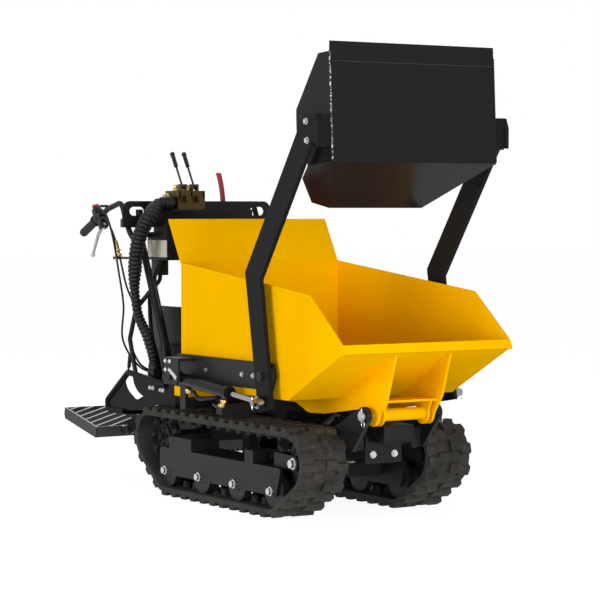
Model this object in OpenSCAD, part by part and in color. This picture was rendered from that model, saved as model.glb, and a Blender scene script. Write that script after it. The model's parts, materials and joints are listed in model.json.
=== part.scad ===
// Tracked power carrier with a forward-tipping hopper and a self-loading shovel.
// Millimetres. +X points forward to the pouring lip, +Y left, +Z up.
// The origin is on the ground, under the middle of the outline.

/* [Tracks] */
// Width of a rubber track
track_w = 180; // [160:5:190]
// Distance from the centre plane to the middle of a track
track_mid = 262; // [255:1:275]
// Thickness of the rubber carcass
carcass_t = 18; // [15:1:21]
// Height of a tread lug
lug_h = 14; // [10:1:16]
// Length of a tread lug along the track
lug_len = 40; // [34:1:46]
// Height of a guide lug inside the track
guide_h = 24; // [16:1:25]
// Number of links in a track
link_count = 37; // [35:1:39]
// Radius of the sprocket where the track runs on it
sprocket_r = 83; // [79:1:87]
// Number of sprocket teeth
sprocket_teeth = 8; // [7:1:9]
// Radius of the front idler
idler_r = 92; // [88:1:96]
// Radius of a track roller
roller_r = 62; // [58:1:65]
// Forward place of the sprocket axle
sprocket_x = -312; // [-325:1:-300]
// Height of the sprocket axle
sprocket_z = 211; // [205:1:217]
// Forward place of the idler axle
idler_x = 690; // [680:1:705]
// Height of the idler axle
idler_z = 200; // [196:1:206]
// Forward place of the rearmost roller
roller_first_x = -192; // [-200:1:-185]
// Pitch of the rollers
roller_pitch = 256; // [245:1:260]
// Radius of a roller axle
roller_axle_r = 14; // [10:0.5:16]
// Radius of the idler axle
idler_axle_r = 15; // [12:0.5:18]
// Radius of the drive shaft
drive_shaft_r = 20; // [16:0.5:24]

/* [Roller frame] */
// Thickness of the frame plates
frame_plate_t = 10; // [6:1:12]
// Distance from the middle of a track to the inside of a frame plate
frame_plate_off = 70; // [69:0.5:74]
// Height of the lower edge of the frame plate
frame_low_z = 80; // [74:1:84]
// Height of the top of the frame
frame_top_z = 180; // [172:1:186]

/* [Chassis] */
// Distance from the centre plane to the inside of a rail
rail_in = 100; // [98:1:106]
// Width of a rail
rail_w = 40; // [34:1:44]
// Height of a rail
rail_h = 70; // [60:1:72]
// Height of the top of the rails
rail_top_z = 315; // [308:1:320]
// Height of the engine deck
deck_z = 400; // [394:1:406]

/* [Hopper] */
// Half width of the hopper
hopper_half = 347; // [335:1:350]
// Thickness of the hopper sheet
sheet_t = 5; // [3:0.5:8]
// Height of the underside of the hopper floor
floor_z = 421; // [418:1:425]
// Forward place of the rear wall
hopper_rear_x = -55; // [-65:1:-45]
// Forward place of the front end of the floor
floor_front_x = 700; // [680:1:720]
// Forward place of the tip of the pouring lip
lip_x = 1060; // [1040:1:1075]
// Height of the rear wall
rear_wall_z = 881; // [860:1:900]
// Height of the front shoulder
shoulder_z = 789; // [770:1:805]
// Height of the pouring lip
lip_z = 628; // [618:1:636]
// Forward place of the front shoulder
shoulder_x = 840; // [820:1:860]
// Height of the folded rim on the lip
lip_h = 30; // [24:1:36]
// Rearward lean of the back flap
flap_lean = 102; // [85:1:115]
// Height of the back flap
flap_h = 161; // [140:1:175]
// Forward place of the hopper pivot
tip_x = 880; // [875:1:885]
// Height of the hopper pivot
tip_z = 372; // [370:1:376]
// Radius of the hopper hinge pin
tip_pin_r = 12; // [10:0.5:14]
// Distance from the centre plane to the inside of a gusset
gusset_in = 108; // [104:1:112]
// Thickness of a gusset
gusset_t = 10; // [8:0.5:12]

/* [Loader] */
// Gap between the hopper and a side plate
side_gap = 13; // [11:0.5:17]
// Thickness of a side plate
side_plate_t = 12; // [10:0.5:14]
// Thickness of a loader arm
arm_t = 16; // [12:0.5:18]
// Width of a loader arm
arm_w = 95; // [85:1:104]
// Gap between a side plate and its arm, filled by the pivot flange
arm_gap = 8; // [6:0.5:9]
// Forward place of the loader pivot
loader_x = 600; // [595:1:605]
// Height of the loader pivot
loader_z = 500; // [496:1:504]
// Radius of the loader pivot shaft
loader_shaft_r = 20; // [16:0.5:24]
// Forward place of the arm's bend
arm_bend_x = 544; // [535:1:552]
// Height of the arm's bend
arm_bend_z = 847; // [830:1:860]
// Forward place of the arm's top end
arm_top_x = 905; // [895:1:912]
// Height of the arm's top end
arm_top_z = 1352; // [1340:1:1360]

/* [Shovel] */
// Half width of the shovel
shovel_half = 338; // [325:1:340]
// Thickness of the shovel sheet
shovel_t = 6; // [4:0.5:8]
// Distance of the fold ahead of the arm's top end
fold_ahead = 65; // [60:1:70]
// Drop of the fold below the arm's top end
fold_drop = 115; // [108:1:122]
// Height of the shovel floor from the fold to the cutting edge
shovel_floor_h = 403; // [390:1:415]
// Rearward lean of the shovel floor
shovel_lean = 20; // [14:1:26]
// Height of the cutting edge strip
edge_strip_h = 65; // [50:1:80]
// Half width of the chute mouth
mouth_half = 195; // [180:1:210]

/* [Cylinders] */
// Radius of a lift cylinder barrel
lift_barrel_r = 21; // [20:0.5:24]
// Radius of the bore of a lift cylinder
lift_bore_r = 16; // [14:0.5:18]
// Radius of the rod of a lift cylinder
lift_rod_r = 10; // [8:0.5:12]
// Radius of a cylinder eye
eye_r = 24; // [20:0.5:26]
// Radius of the pin in a cylinder eye
eye_pin_r = 10; // [8:0.5:12]
// Thickness of a cylinder eye
eye_t = 24; // [20:1:28]
// Forward place of the rear pin of a lift cylinder
lift_rear_x = 34; // [28:1:40]
// Height of the rear pin of a lift cylinder
lift_rear_z = 462; // [458:1:466]
// Forward place of the rod end of a lift cylinder
lift_front_x = 620; // [612:1:626]
// Height of the rod end of a lift cylinder
lift_front_z = 412; // [406:1:418]
// Radius of the tipping cylinder barrel
tip_barrel_r = 27; // [26:0.5:30]
// Radius of the bore of the tipping cylinder
tip_bore_r = 21; // [20:0.5:23]
// Radius of the rod of the tipping cylinder
tip_rod_r = 14; // [12:0.5:16]
// Forward place of the rear pin of the tipping cylinder
tip_rear_x = 190; // [184:1:196]
// Height of the rear pin of the tipping cylinder
tip_rear_z = 200; // [196:1:206]
// Forward place of the rod end of the tipping cylinder
tip_front_x = 540; // [532:1:546]
// Height of the rod end of the tipping cylinder
tip_front_z = 396; // [393:1:397]

/* [Controls] */
// Radius of a handlebar tube
bar_r = 11; // [9:0.5:13]
// Distance from the centre plane to a handlebar
bar_y = 300; // [290:1:308]
// Half width of the console panel
console_half = 335; // [325:1:345]
// Height of the lower edge of the console panel
console_low_z = 1008; // [1000:1:1014]
// Height of the upper edge of the console panel
console_top_z = 1111; // [1104:1:1120]
// Forward place of the console panel
console_x = -552; // [-556:1:-548]
// Radius of a console column
column_r = 14; // [11:0.5:16]
// Distance from the centre plane to a console column
column_y = 250; // [244:1:254]
// Outer radius of the ribbed hose at its top
hose_top_r = 21; // [18:0.5:22]
// Outer radius of the ribbed hose at its foot
hose_foot_r = 14; // [12:0.5:16]
// Number of ribs on the hose
hose_ribs = 46; // [30:1:60]

/* [Platform] */
// Half width of the riding platform
platform_half = 340; // [320:1:350]
// Distance from the hinge to the rear edge of the platform
platform_len = 320; // [296:1:332]
// Upward tilt of the platform
platform_tilt = 11.6; // [9:0.1:14]
// Forward place of the platform hinge
platform_x = -742; // [-748:1:-738]
// Height of the platform hinge
platform_z = 196; // [190:1:202]
// Height of the platform frame
platform_h = 30; // [24:1:36]
// Radius of the platform hinge pin
platform_pin_r = 8; // [6:0.5:10]

/* [Fits] */
// Running clearance of a pin in its bore
run_gap = 0.05; // [0.02:0.01:0.1]
// Gap between a wheel and the track
belt_gap = 0.3; // [0.2:0.05:0.5]
// Gap between faces that slide past each other
face_gap = 0.4; // [0.3:0.05:0.6]

/* [Hidden] */
$fn = 48;
yellow = [0.97, 0.73, 0.0];
black = [0.14, 0.14, 0.15];
rubber = [0.21, 0.2, 0.19];
zinc = [0.75, 0.76, 0.78];
red = [0.62, 0.14, 0.16];

roller_z = lug_h + carcass_t + roller_r;
rail_out = rail_in + rail_w;
rail_low_z = rail_top_z - rail_h;
side_plate_in = hopper_half + side_gap;
side_plate_out = side_plate_in + side_plate_t;
arm_in = side_plate_out + arm_gap;
arm_out = arm_in + arm_t;
shovel_fold_x = arm_top_x + fold_ahead;
shovel_fold_z = arm_top_z - fold_drop;
shovel_edge_x = shovel_fold_x - shovel_lean;
shovel_edge_z = shovel_fold_z + shovel_floor_h;
eye_in = arm_out + 4;
eye_mid = eye_in + eye_t / 2;
clevis_in = eye_mid + lift_barrel_r + 3;
lift_len = norm([lift_front_x - lift_rear_x, lift_front_z - lift_rear_z]);
lift_angle = atan2(lift_front_z - lift_rear_z, lift_front_x - lift_rear_x);
tip_len = norm([tip_front_x - tip_rear_x, tip_front_z - tip_rear_z]);
tip_angle = atan2(tip_front_z - tip_rear_z, tip_front_x - tip_rear_x);

// General helpers

// Copies its children to the left (side = 1) or mirrors them to the right (side = -1)
module on_side(side) {
  if (side > 0) children();
  else mirror([0, 1, 0]) children();
}

module both_sides() {
  for (side = [1, -1]) on_side(side) children();
}

// Extrudes a side-view outline (forward, up) across the machine from y0 to y1
module across(y0, y1) {
  translate([0, y1, 0]) rotate([90, 0, 0]) linear_extrude(y1 - y0) children();
}

// Box between two corners
module block(low, high) {
  translate(low) cube(high - low);
}

// Round bar across the machine
module bar_across(x, z, r, y0, y1) {
  translate([x, y1, z]) rotate([90, 0, 0]) cylinder(r = r, h = y1 - y0);
}

// Round bar from one point to another
module rod(a, b, r) {
  d = b - a;
  translate(a) rotate([0, acos(d.z / norm(d)), atan2(d.y, d.x)]) cylinder(r = r, h = norm(d));
}

// Path through points with round bends of one radius
bend_steps = 6;
function bend_dir(p, i) = (p[i + 1] - p[i]) / norm(p[i + 1] - p[i]);
function bend_arc(p, i, bend_r) =
  let (u = bend_dir(p, i - 1), v = bend_dir(p, i), turn = acos(u * v), w = cross(u, v) / norm(cross(u,
    v)),
    e = cross(u, w), c = p[i] - u * bend_r * tan(turn / 2) - e * bend_r)
  [for (k = [0:bend_steps]) c + bend_r * (e * cos(turn * k / bend_steps) + u * sin(turn * k / bend_steps))];
function bent_path(p, bend_r) =
  [p[0], for (i = [1:len(p) - 2]) each bend_arc(p, i, bend_r), p[len(p) - 1]];

// Tube through points, with round bends of one radius
tube_sides = 16;
module bent_tube(points, r, bend_r) {
  p = bent_path(points, bend_r);
  swept(p, [for (q = p) r], tube_sides, [0, 1, 0]);
}

// Smooth curve through points, steps samples to a stretch
function at(p, i) = p[max(0, min(len(p) - 1, i))];
function spline_point(p, i, t) =
  0.5 * (2 * at(p, i) + (at(p, i + 1) - at(p, i - 1)) * t
    + (2 * at(p, i - 1) - 5 * at(p, i) + 4 * at(p, i + 1) - at(p, i + 2)) * t * t
    + (3 * at(p, i) - at(p, i - 1) - 3 * at(p, i + 1) + at(p, i + 2)) * t * t * t);
function spline(p, steps) =
  [for (i = [0:len(p) - 2]) for (k = [0:steps - 1]) spline_point(p, i, k / steps), p[len(p) - 1]];

// Frames carried along a path with no twist: each is [side, up]
function path_dir(p, i) =
  let (d = p[min(i + 1, len(p) - 1)] - p[max(i - 1, 0)]) d / norm(d);
function turn_frame(side, d) = let (s = side - d * (side * d)) s / norm(s);
function frames(p, i, side, done) =
  i == len(p) ? done
  : let (s = turn_frame(side, path_dir(p, i)))
    frames(p, i + 1, s, concat(done, [[s, cross(path_dir(p, i), s)]]));

// Ring of n points about a path point
function ring(c, f, r, n) =
  [for (k = [0:n - 1]) c + r * (f[0] * cos(360 * k / n) + f[1] * sin(360 * k / n))];

// Solid tube along a path, one radius for each path point
module swept(p, radii, n, start_side) {
  f = frames(p, 0, start_side, []);
  m = len(p);
  points = [for (i = [0:m - 1]) each ring(p[i], f[i], radii[i], n)];
  walls = [for (i = [0:m - 2]) for (k = [0:n - 1])
    each [[i * n + k, (i + 1) * n + k, i * n + (k + 1) % n],
      [i * n + (k + 1) % n, (i + 1) * n + k, (i + 1) * n + (k + 1) % n]]];
  ends = [for (k = [1:n - 2]) each [[0, k, k + 1], [(m - 1) * n, (m - 1) * n + k + 1, (m - 1) * n + k]]];
  polyhedron(points = points, faces = concat(walls, ends));
}

// Hollow tube along a path: outer and bore radii for each path point
module swept_hollow(p, radii, bores, n, start_side) {
  f = frames(p, 0, start_side, []);
  m = len(p);
  outer = [for (i = [0:m - 1]) each ring(p[i], f[i], radii[i], n)];
  inner = [for (i = [0:m - 1]) each ring(p[i], f[i], bores[i], n)];
  o = m * n;
  function quad(a, b, c, d) = [[a, b, c], [c, b, d]];
  walls = [for (i = [0:m - 2]) for (k = [0:n - 1])
    let (j = (k + 1) % n)
    each concat(quad(i * n + k, (i + 1) * n + k, i * n + j, (i + 1) * n + j),
      quad(o + i * n + j, o + (i + 1) * n + j, o + i * n + k, o + (i + 1) * n + k))];
  rims = [for (k = [0:n - 1])
    let (j = (k + 1) % n, e = (m - 1) * n)
    each concat(quad(o + k, k, o + j, j), quad(e + k, o + e + k, e + j, o + e + j))];
  polyhedron(points = concat(outer, inner), faces = concat(walls, rims));
}

// Flat sheet with its outer face on the given corners, thickness t to the inside.
// The corners run so that the right-hand normal points out.
module sheet(corners, t) {
  n = len(corners);
  c = cross(corners[1] - corners[0], corners[2] - corners[1]);
  inside = -c / norm(c) * t;
  points = concat(corners, [for (p = corners) p + inside]);
  faces = concat([[for (k = [n - 1:-1:0]) k]], [[for (k = [0:n - 1]) n + k]],
    [for (k = [0:n - 1]) [k, (k + 1) % n, n + (k + 1) % n, n + k]]);
  polyhedron(points = points, faces = faces);
}

// Hexagon bolt head with its washer, lying on a face that looks along -Y at y
module side_bolt(x, y, z, r) {
  washer_t = 0.25 * r;
  translate([x, y, z]) rotate([90, 0, 0]) {
    cylinder(r = 1.25 * r, h = washer_t);
    translate([0, 0, washer_t]) cylinder(r = r, h = 0.75 * r, $fn = 6);
  }
}

// Same bolt on a face that looks along +X at x
module front_bolt(x, y, z, r) {
  translate([x, y, z]) rotate([0, 0, 90]) side_bolt(0, 0, 0, r);
}

// Track path: a belt round the idler, the sprocket, the rear roller and the front roller

roller_last_x = roller_first_x + 3 * roller_pitch;
wheels = [[idler_x, idler_z, idler_r], [sprocket_x, sprocket_z, sprocket_r],
  [roller_first_x, roller_z, roller_r], [roller_last_x, roller_z, roller_r]];
pitch_line = carcass_t / 2;
function wheel_step(i) = let (a = wheels[i], b = wheels[(i + 1) % 4]) [b.x - a.x, b.y - a.y];
function raw_normal(i) =
  atan2(wheel_step(i).y, wheel_step(i).x) - acos((wheels[i].z - wheels[(i + 1) % 4].z) / norm(wheel_step(i)));
function normal(i) = let (a = raw_normal(i)) a < 45 ? a + 360 : a;
function arc_start(i) = i == 0 ? normal(3) - 360 : normal(i - 1);
function arc_len(i) = (wheels[i].z + pitch_line) * (normal(i) - arc_start(i)) * PI / 180;
function line_len(i) =
  sqrt(pow(norm(wheel_step(i)), 2) - pow(wheels[i].z - wheels[(i + 1) % 4].z, 2));
stretch = [for (i = [0:3]) each [arc_len(i), line_len(i)]];
function stretch_start(i) = i == 0 ? 0 : stretch_start(i - 1) + stretch[i - 1];
starts = [for (i = [0:8]) stretch_start(i)];
loop_len = starts[8];
link_pitch = loop_len / link_count;
function stretch_at(s, i = 0) = i == 7 || s < starts[i + 1] ? i : stretch_at(s, i + 1);

// Point at length s along the track, e outwards from the running surface
function track_point(s, e) =
  let (w = (s % loop_len + loop_len) % loop_len, k = stretch_at(w), i = floor(k / 2), c = wheels[i],
    d = w - starts[k])
  k % 2 == 0
  ? let (a = arc_start(i) + d / (c.z + pitch_line) * 180 / PI) [c.x, c.y] + (c.z + e) * [cos(a), sin(a)]
  : let (a = normal(i)) [c.x, c.y] + (c.z + e) * [cos(a), sin(a)] + d * [-sin(a), cos(a)];

// Closed outline that repeats a link profile of [length, outwards] points
function link_outline(profile, phase) =
  [for (k = [0:link_count - 1]) for (q = profile) track_point((k + phase) * link_pitch + q.x, q.y)];

lug_rake = 6;
lug_profile = [[0, carcass_t], [lug_rake, carcass_t + lug_h], [lug_len / 2, carcass_t + lug_h],
  [lug_len - lug_rake, carcass_t + lug_h], [lug_len, carcass_t], [(lug_len + link_pitch) / 2, carcass_t]];
guide_len = 34;
guide_rake = 8;
guide_profile = [[0, 0], [guide_rake, -guide_h], [guide_len - guide_rake, -guide_h], [guide_len, 0],
  [(guide_len + link_pitch) / 2, 0]];
belt_steps = 6;
plain_profile = [for (k = [0:belt_steps - 1]) [k * link_pitch / belt_steps, 0]];
shell_profile = [for (q = plain_profile) [q.x, carcass_t / 3]];
groove_profile = [for (q = plain_profile) [q.x, carcass_t]];

// Tread rows across a track: [inner edge, outer edge, phase of the lugs in links]
groove_w = 10;
row_w = (track_w - groove_w) / 4;
tread_rows = [[-track_w / 2, -track_w / 2 + row_w, 0], [-track_w / 2 + row_w, -groove_w / 2, 0.14],
  [groove_w / 2, groove_w / 2 + row_w, 0.64], [groove_w / 2 + row_w, track_w / 2, 0.5]];
guide_in = 16;
guide_out = 30;

module track(side) {
  color(rubber) on_side(side) {
    difference() {
      union() {
        for (r = tread_rows)
          across(track_mid + r[0], track_mid + r[1]) polygon(link_outline(lug_profile, r[2]));
        across(track_mid - groove_w / 2, track_mid + groove_w / 2) polygon(link_outline(groove_profile,
          0));
      }
      across(track_mid - track_w, track_mid + track_w) polygon(link_outline(plain_profile, 0));
    }
    for (s = [-1, 1])
      across(track_mid + min(s * guide_in, s * guide_out), track_mid + max(s * guide_in, s * guide_out))
        difference() {
          polygon(link_outline(shell_profile, 0));
          polygon(link_outline(guide_profile, 0.3));
        }
  }
}

// Wheel profiles are [radius, along the axle] points turned about the axle
module turned(x, z, profile) {
  translate([x, track_mid, z]) rotate([90, 0, 0]) rotate_extrude() polygon(profile);
}

sprocket_tip_r = sprocket_r - belt_gap;
sprocket_root_r = sprocket_r - 24;
sprocket_half_t = 11;
tooth_step = 360 / sprocket_teeth;
function tooth(k) = [for (q = [[0, sprocket_root_r], [0.16, sprocket_root_r], [0.3, sprocket_tip_r],
    [0.5, sprocket_tip_r], [0.64, sprocket_root_r], [0.8, sprocket_root_r]])
  q[1] * [cos((k + q[0]) * tooth_step), sin((k + q[0]) * tooth_step)]];
sprocket_hub_r = 46;
shaft_end_y = 300;
window_r = 7;

module sprocket(side) {
  color(black) on_side(side) {
    difference() {
      translate([sprocket_x, 0, sprocket_z]) union() {
        across(track_mid - sprocket_half_t, track_mid + sprocket_half_t)
          polygon([for (k = [0:sprocket_teeth - 1]) each tooth(k)]);
        bar_across(0, 0, sprocket_hub_r, track_mid - 30, track_mid + 22);
        bar_across(0, 0, drive_shaft_r, shaft_in + face_gap, shaft_end_y - 14);
      }
      for (k = [0:4])
        translate([sprocket_x, 0, sprocket_z]) rotate([0, 72 * k, 0])
          bar_across(sprocket_hub_r - 14, 0, window_r, track_mid + 10, track_mid + 30);
    }
    bar_across(sprocket_x, sprocket_z, drive_shaft_r * 0.6, shaft_end_y - 14, shaft_end_y);
  }
}

module idler(side) {
  rim_half = 13;
  hub_half = 40;
  rim_r = idler_r - belt_gap;
  bore_r = idler_axle_r + run_gap;
  color(black) on_side(side)
    turned(idler_x, idler_z, [[bore_r, -hub_half], [36, -hub_half], [40, -rim_half + 4],
      [rim_r - 20, -rim_half + 4],
      [rim_r - 16, -rim_half], [rim_r, -rim_half], [rim_r, rim_half], [rim_r - 16, rim_half],
      [rim_r - 20, rim_half - 4], [40, rim_half - 4], [36, hub_half], [bore_r, hub_half]]);
}

roller_rim_in = 34;
roller_rim_out = 66;
module roller(side, n) {
  rim_r = roller_r - belt_gap;
  hub_r = roller_r - guide_h - 4;
  bore_r = roller_axle_r + run_gap;
  collar_r = roller_axle_r + 10;
  collar = frame_plate_off - face_gap;
  color(black) on_side(side)
    turned(roller_first_x + n * roller_pitch, roller_z, [[bore_r, -collar], [collar_r, -collar],
      [collar_r, -roller_rim_out], [rim_r, -roller_rim_out], [rim_r, -roller_rim_in - 4],
      [rim_r - 4, -roller_rim_in], [hub_r, -roller_rim_in], [hub_r, roller_rim_in],
        [rim_r - 4, roller_rim_in],
      [rim_r, roller_rim_in + 4], [rim_r, roller_rim_out], [collar_r, roller_rim_out], [collar_r, collar],
      [bore_r, collar]]);
}

// Roller frame: two plates and a top plate that carry the roller axles

frame_rear_x = roller_first_x - 42;
frame_front_x = roller_last_x + 66;
frame_slant = 30;
beam_w = 50;
beam_xs = [40, 440];
beam_low_z = 112;
beam_top_z = 162;

module frame_outline() {
  polygon([[frame_rear_x, frame_low_z], [frame_front_x - frame_slant, frame_low_z],
    [frame_front_x, frame_top_z - 8],
    [frame_front_x - 12, frame_top_z], [frame_rear_x + 12, frame_top_z],
      [frame_rear_x, frame_top_z - 8]]);
}

module track_frame(side) {
  plate_y0 = track_mid + frame_plate_off;
  plate_y1 = plate_y0 + frame_plate_t;
  inner_y1 = track_mid - frame_plate_off;
  inner_y0 = inner_y1 - frame_plate_t;
  color(black) on_side(side) {
    across(plate_y0, plate_y1) frame_outline();
    across(inner_y0, inner_y1) frame_outline();
    block([roller_first_x + 20, inner_y0, frame_top_z - 10], [roller_last_x - 20, plate_y1, frame_top_z]);
    for (n = [0:3])
      bar_across(roller_first_x + n * roller_pitch, roller_z, roller_axle_r, inner_y0, plate_y1);
    // Clamp blocks that stand on the top plate
    block([roller_first_x + 30, track_mid - 40, frame_top_z], [roller_first_x + 200, plate_y1,
      frame_top_z + 46]);
    block([398, track_mid - 30, frame_top_z], [456, plate_y1, frame_top_z + 46]);
  }
}

// Yokes that slide on the frames and carry the idler axles
yoke_in = 46;
yoke_t = 10;
yoke_rear_x = idler_x - idler_r - 24;
tension_rod_r = 12;
module tension_yokes() {
  color(black) both_sides() {
    for (s = [-1, 1])
      across(track_mid + min(s * yoke_in, s * (yoke_in + yoke_t)), track_mid + max(s * yoke_in,
        s * (yoke_in + yoke_t)))
        union() {
          polygon([[yoke_rear_x, frame_top_z], [idler_x - 6, frame_top_z - 4],
            [idler_x + 20, idler_z - 16],
            [idler_x + 20, idler_z + 16], [idler_x - 6, idler_z + 26], [yoke_rear_x, idler_z + 30]]);
          translate([idler_x, idler_z]) circle(r = 27);
        }
    block([yoke_rear_x - 12, track_mid - yoke_in - yoke_t, frame_top_z],
      [yoke_rear_x, track_mid + yoke_in + yoke_t, idler_z + 30]);
    bar_across(idler_x, idler_z, idler_axle_r, track_mid - yoke_in - yoke_t,
      track_mid + yoke_in + yoke_t);
    rod([456, track_mid, frame_top_z + 22], [yoke_rear_x - 12, track_mid, frame_top_z + 22],
      tension_rod_r);
  }
}

// Chassis

gearbox_half = 132;
shaft_in = 60;
ear_t = 14;
ear_r = 32;
post_w = 40;
cross_beam_xs = [-20, 250];
cross_beam_w = 40;
cross_beam_low_z = 341;
cross_beam_top_z = 378;
rail_rear_x = -620;
rail_front_x = tip_x - 80;
deck_front_x = -150;
deck_t = 8;
tip_cross_x = 140;
tip_ear_in = tip_barrel_r + 3;
wing_rear_x = -445;
wing_front_x = -230;
hose_foot = [-415, -268];

module hinge_ear_outline() {
  union() {
    translate([tip_x, tip_z]) circle(r = ear_r);
    polygon([[rail_front_x - 120, rail_low_z], [rail_front_x + 10, rail_low_z],
      [tip_x + ear_r * 0.94, tip_z - ear_r * 0.34],
      [tip_x - ear_r * 0.5, tip_z + ear_r * 0.866], [rail_front_x - 120, rail_top_z]]);
  }
}

bracket_out = 213;
bracket_t = 8;
bracket_eye_r = 22;
bracket_top_z = rail_top_z - 15;
module platform_bracket() {
  across(bracket_out - bracket_t, bracket_out) union() {
    translate([platform_x, platform_z]) circle(r = bracket_eye_r);
    polygon([[platform_x, platform_z - bracket_eye_r], [rail_rear_x + 10, platform_z + 20],
      [rail_rear_x + 20, bracket_top_z], [rail_rear_x - 20, bracket_top_z],
        [platform_x - 10, platform_z + 19]]);
  }
}

module chassis_frame() {
  color(black) difference() {
    union() {
      both_sides() {
        block([rail_rear_x, rail_in, rail_low_z], [rail_front_x, rail_out, rail_top_z]);
        across(rail_out, rail_out + ear_t) hinge_ear_outline();
        for (x = beam_xs)
          block([x, rail_in, beam_top_z], [x + beam_w, rail_out, rail_low_z]);
        for (x = cross_beam_xs) {
          block([x, rail_in, rail_top_z], [x + cross_beam_w, rail_out, cross_beam_low_z]);
          block([x, 0, cross_beam_low_z], [x + cross_beam_w, side_plate_in, cross_beam_top_z]);
        }
        // Deck posts, deck wings that carry the columns, and the platform brackets
        for (x = [rail_rear_x, -300])
          block([x, rail_in, rail_top_z], [x + post_w, rail_out, deck_z - deck_t]);
        block([wing_rear_x, rail_in, deck_z - deck_t], [wing_front_x, column_y + 34, deck_z]);
        block([rail_rear_x, rail_in, rail_low_z], [rail_rear_x + 30, bracket_out, bracket_top_z]);
        platform_bracket();
      }
      for (x = beam_xs)
        block([x, -track_mid + frame_plate_off + frame_plate_t, beam_low_z],
          [x + beam_w, track_mid - frame_plate_off - frame_plate_t, beam_top_z]);
      block([rail_rear_x, -rail_out, deck_z - deck_t], [deck_front_x, rail_out, deck_z]);
      block([rail_rear_x, -rail_in, rail_low_z + 10], [rail_rear_x + 40, rail_in, rail_top_z - 10]);
      // Cross member and ears of the tipping cylinder
      block([tip_cross_x, -rail_in, rail_low_z], [tip_cross_x + 30, rail_in, rail_top_z - 20]);
      for (s = [-1, 1])
        across(s * (tip_ear_in + 5) - 5, s * (tip_ear_in + 5) + 5)
          polygon([[tip_cross_x, rail_top_z - 20], [tip_cross_x, tip_rear_z],
            [tip_rear_x - 4, tip_rear_z - 20],
            [tip_rear_x + 20, tip_rear_z - 8], [tip_rear_x + 20, tip_rear_z + 8],
              [tip_cross_x + 30, rail_top_z - 20]]);
      bar_across(tip_rear_x, tip_rear_z, eye_pin_r, -tip_ear_in - 10, tip_ear_in + 10);
      // Bulkhead under the ribbed hose
      block([hose_foot.x - 24, hose_foot.y - hose_foot_r - 2, deck_z],
        [hose_foot.x + 24, hose_foot.y + hose_foot_r + 2, deck_z + 60]);
    }
    both_sides() {
      bar_across(tip_x, tip_z, tip_pin_r + run_gap, rail_out - 1, rail_out + ear_t + 1);
      bar_across(platform_x, platform_z, platform_pin_r + run_gap, bracket_out - bracket_t - 1,
        bracket_out + 1);
    }
  }
}

// Nose of the chassis: a box under the pivot tube and a bolted plate below it
nose_half = 62;
nose_plate_half = 76;
nose_x = tip_x - 11;
nose_plate_x = nose_x - 95;
module front_plate() {
  color(black) {
    difference() {
      union() {
        block([nose_plate_x - 10, -nose_half, 272], [nose_x, nose_half, 333]);
        block([nose_plate_x - 10, -nose_plate_half, 192], [nose_plate_x, nose_plate_half, 287]);
        block([nose_plate_x - 40, -rail_in, rail_low_z + 8], [nose_plate_x - 10, rail_in,
          rail_top_z - 8]);
      }
      block([nose_plate_x, -nose_half + 6, 278], [nose_x + 1, nose_half - 6, 327]);
    }
  }
}

module gearbox() {
  case_half = rail_in - 4;
  color(black) difference() {
    union() {
      across(-case_half, case_half) union() {
        translate([sprocket_x, sprocket_z]) circle(r = 78);
        polygon([[sprocket_x - 60, 150], [sprocket_x + 60, 150], [sprocket_x + 96, 190],
          [sprocket_x + 96, rail_top_z - 20],
          [sprocket_x - 60, rail_top_z]]);
      }
      for (s = [-1, 1]) {
        bar_across(sprocket_x, sprocket_z, drive_shaft_r + 12, min(s * case_half, s * gearbox_half),
          max(s * case_half, s * gearbox_half));
        for (k = [-2:2])
          block([sprocket_x - 50, s * 20 * abs(k) - 3, 142], [sprocket_x + 50, s * 20 * abs(k) + 3, 152]);
      }
      // Mounting feet on the rails
      for (s = [-1, 1])
        block([sprocket_x + 20, s * (rail_in - 8) - 8, rail_top_z - 30],
          [sprocket_x + 90, s * (rail_in - 8) + 8, rail_top_z - 20]);
      // Input housing that meets the deck
      block([sprocket_x + 30, -40, rail_top_z - 40], [sprocket_x + 90, 40, deck_z - deck_t]);
    }
    for (s = [-1, 1])
      bar_across(sprocket_x, sprocket_z, drive_shaft_r + run_gap, min(s * shaft_in,
        s * (gearbox_half + 1)), max(s * shaft_in, s * (gearbox_half + 1)));
  }
}

// Hopper

flap_top_x = hopper_rear_x - flap_lean;
flap_top_z = rear_wall_z + flap_h;
lip_back = 16;
module tub_outline(t) {
  // Side view of the tub, drawn in by t from the sheet's outer face at rear, floor and chute
  chute = atan2(lip_z - lip_h - floor_z, lip_x - lip_back - floor_front_x);
  polygon([[hopper_rear_x + t, floor_z + t], [floor_front_x + t * tan(chute / 2) * -1, floor_z + t],
    [lip_x - lip_back - t * sin(chute), lip_z - lip_h + t * cos(chute)], [lip_x - lip_back, lip_z],
    [shoulder_x, shoulder_z], [hopper_rear_x + t, rear_wall_z]]);
}

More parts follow.
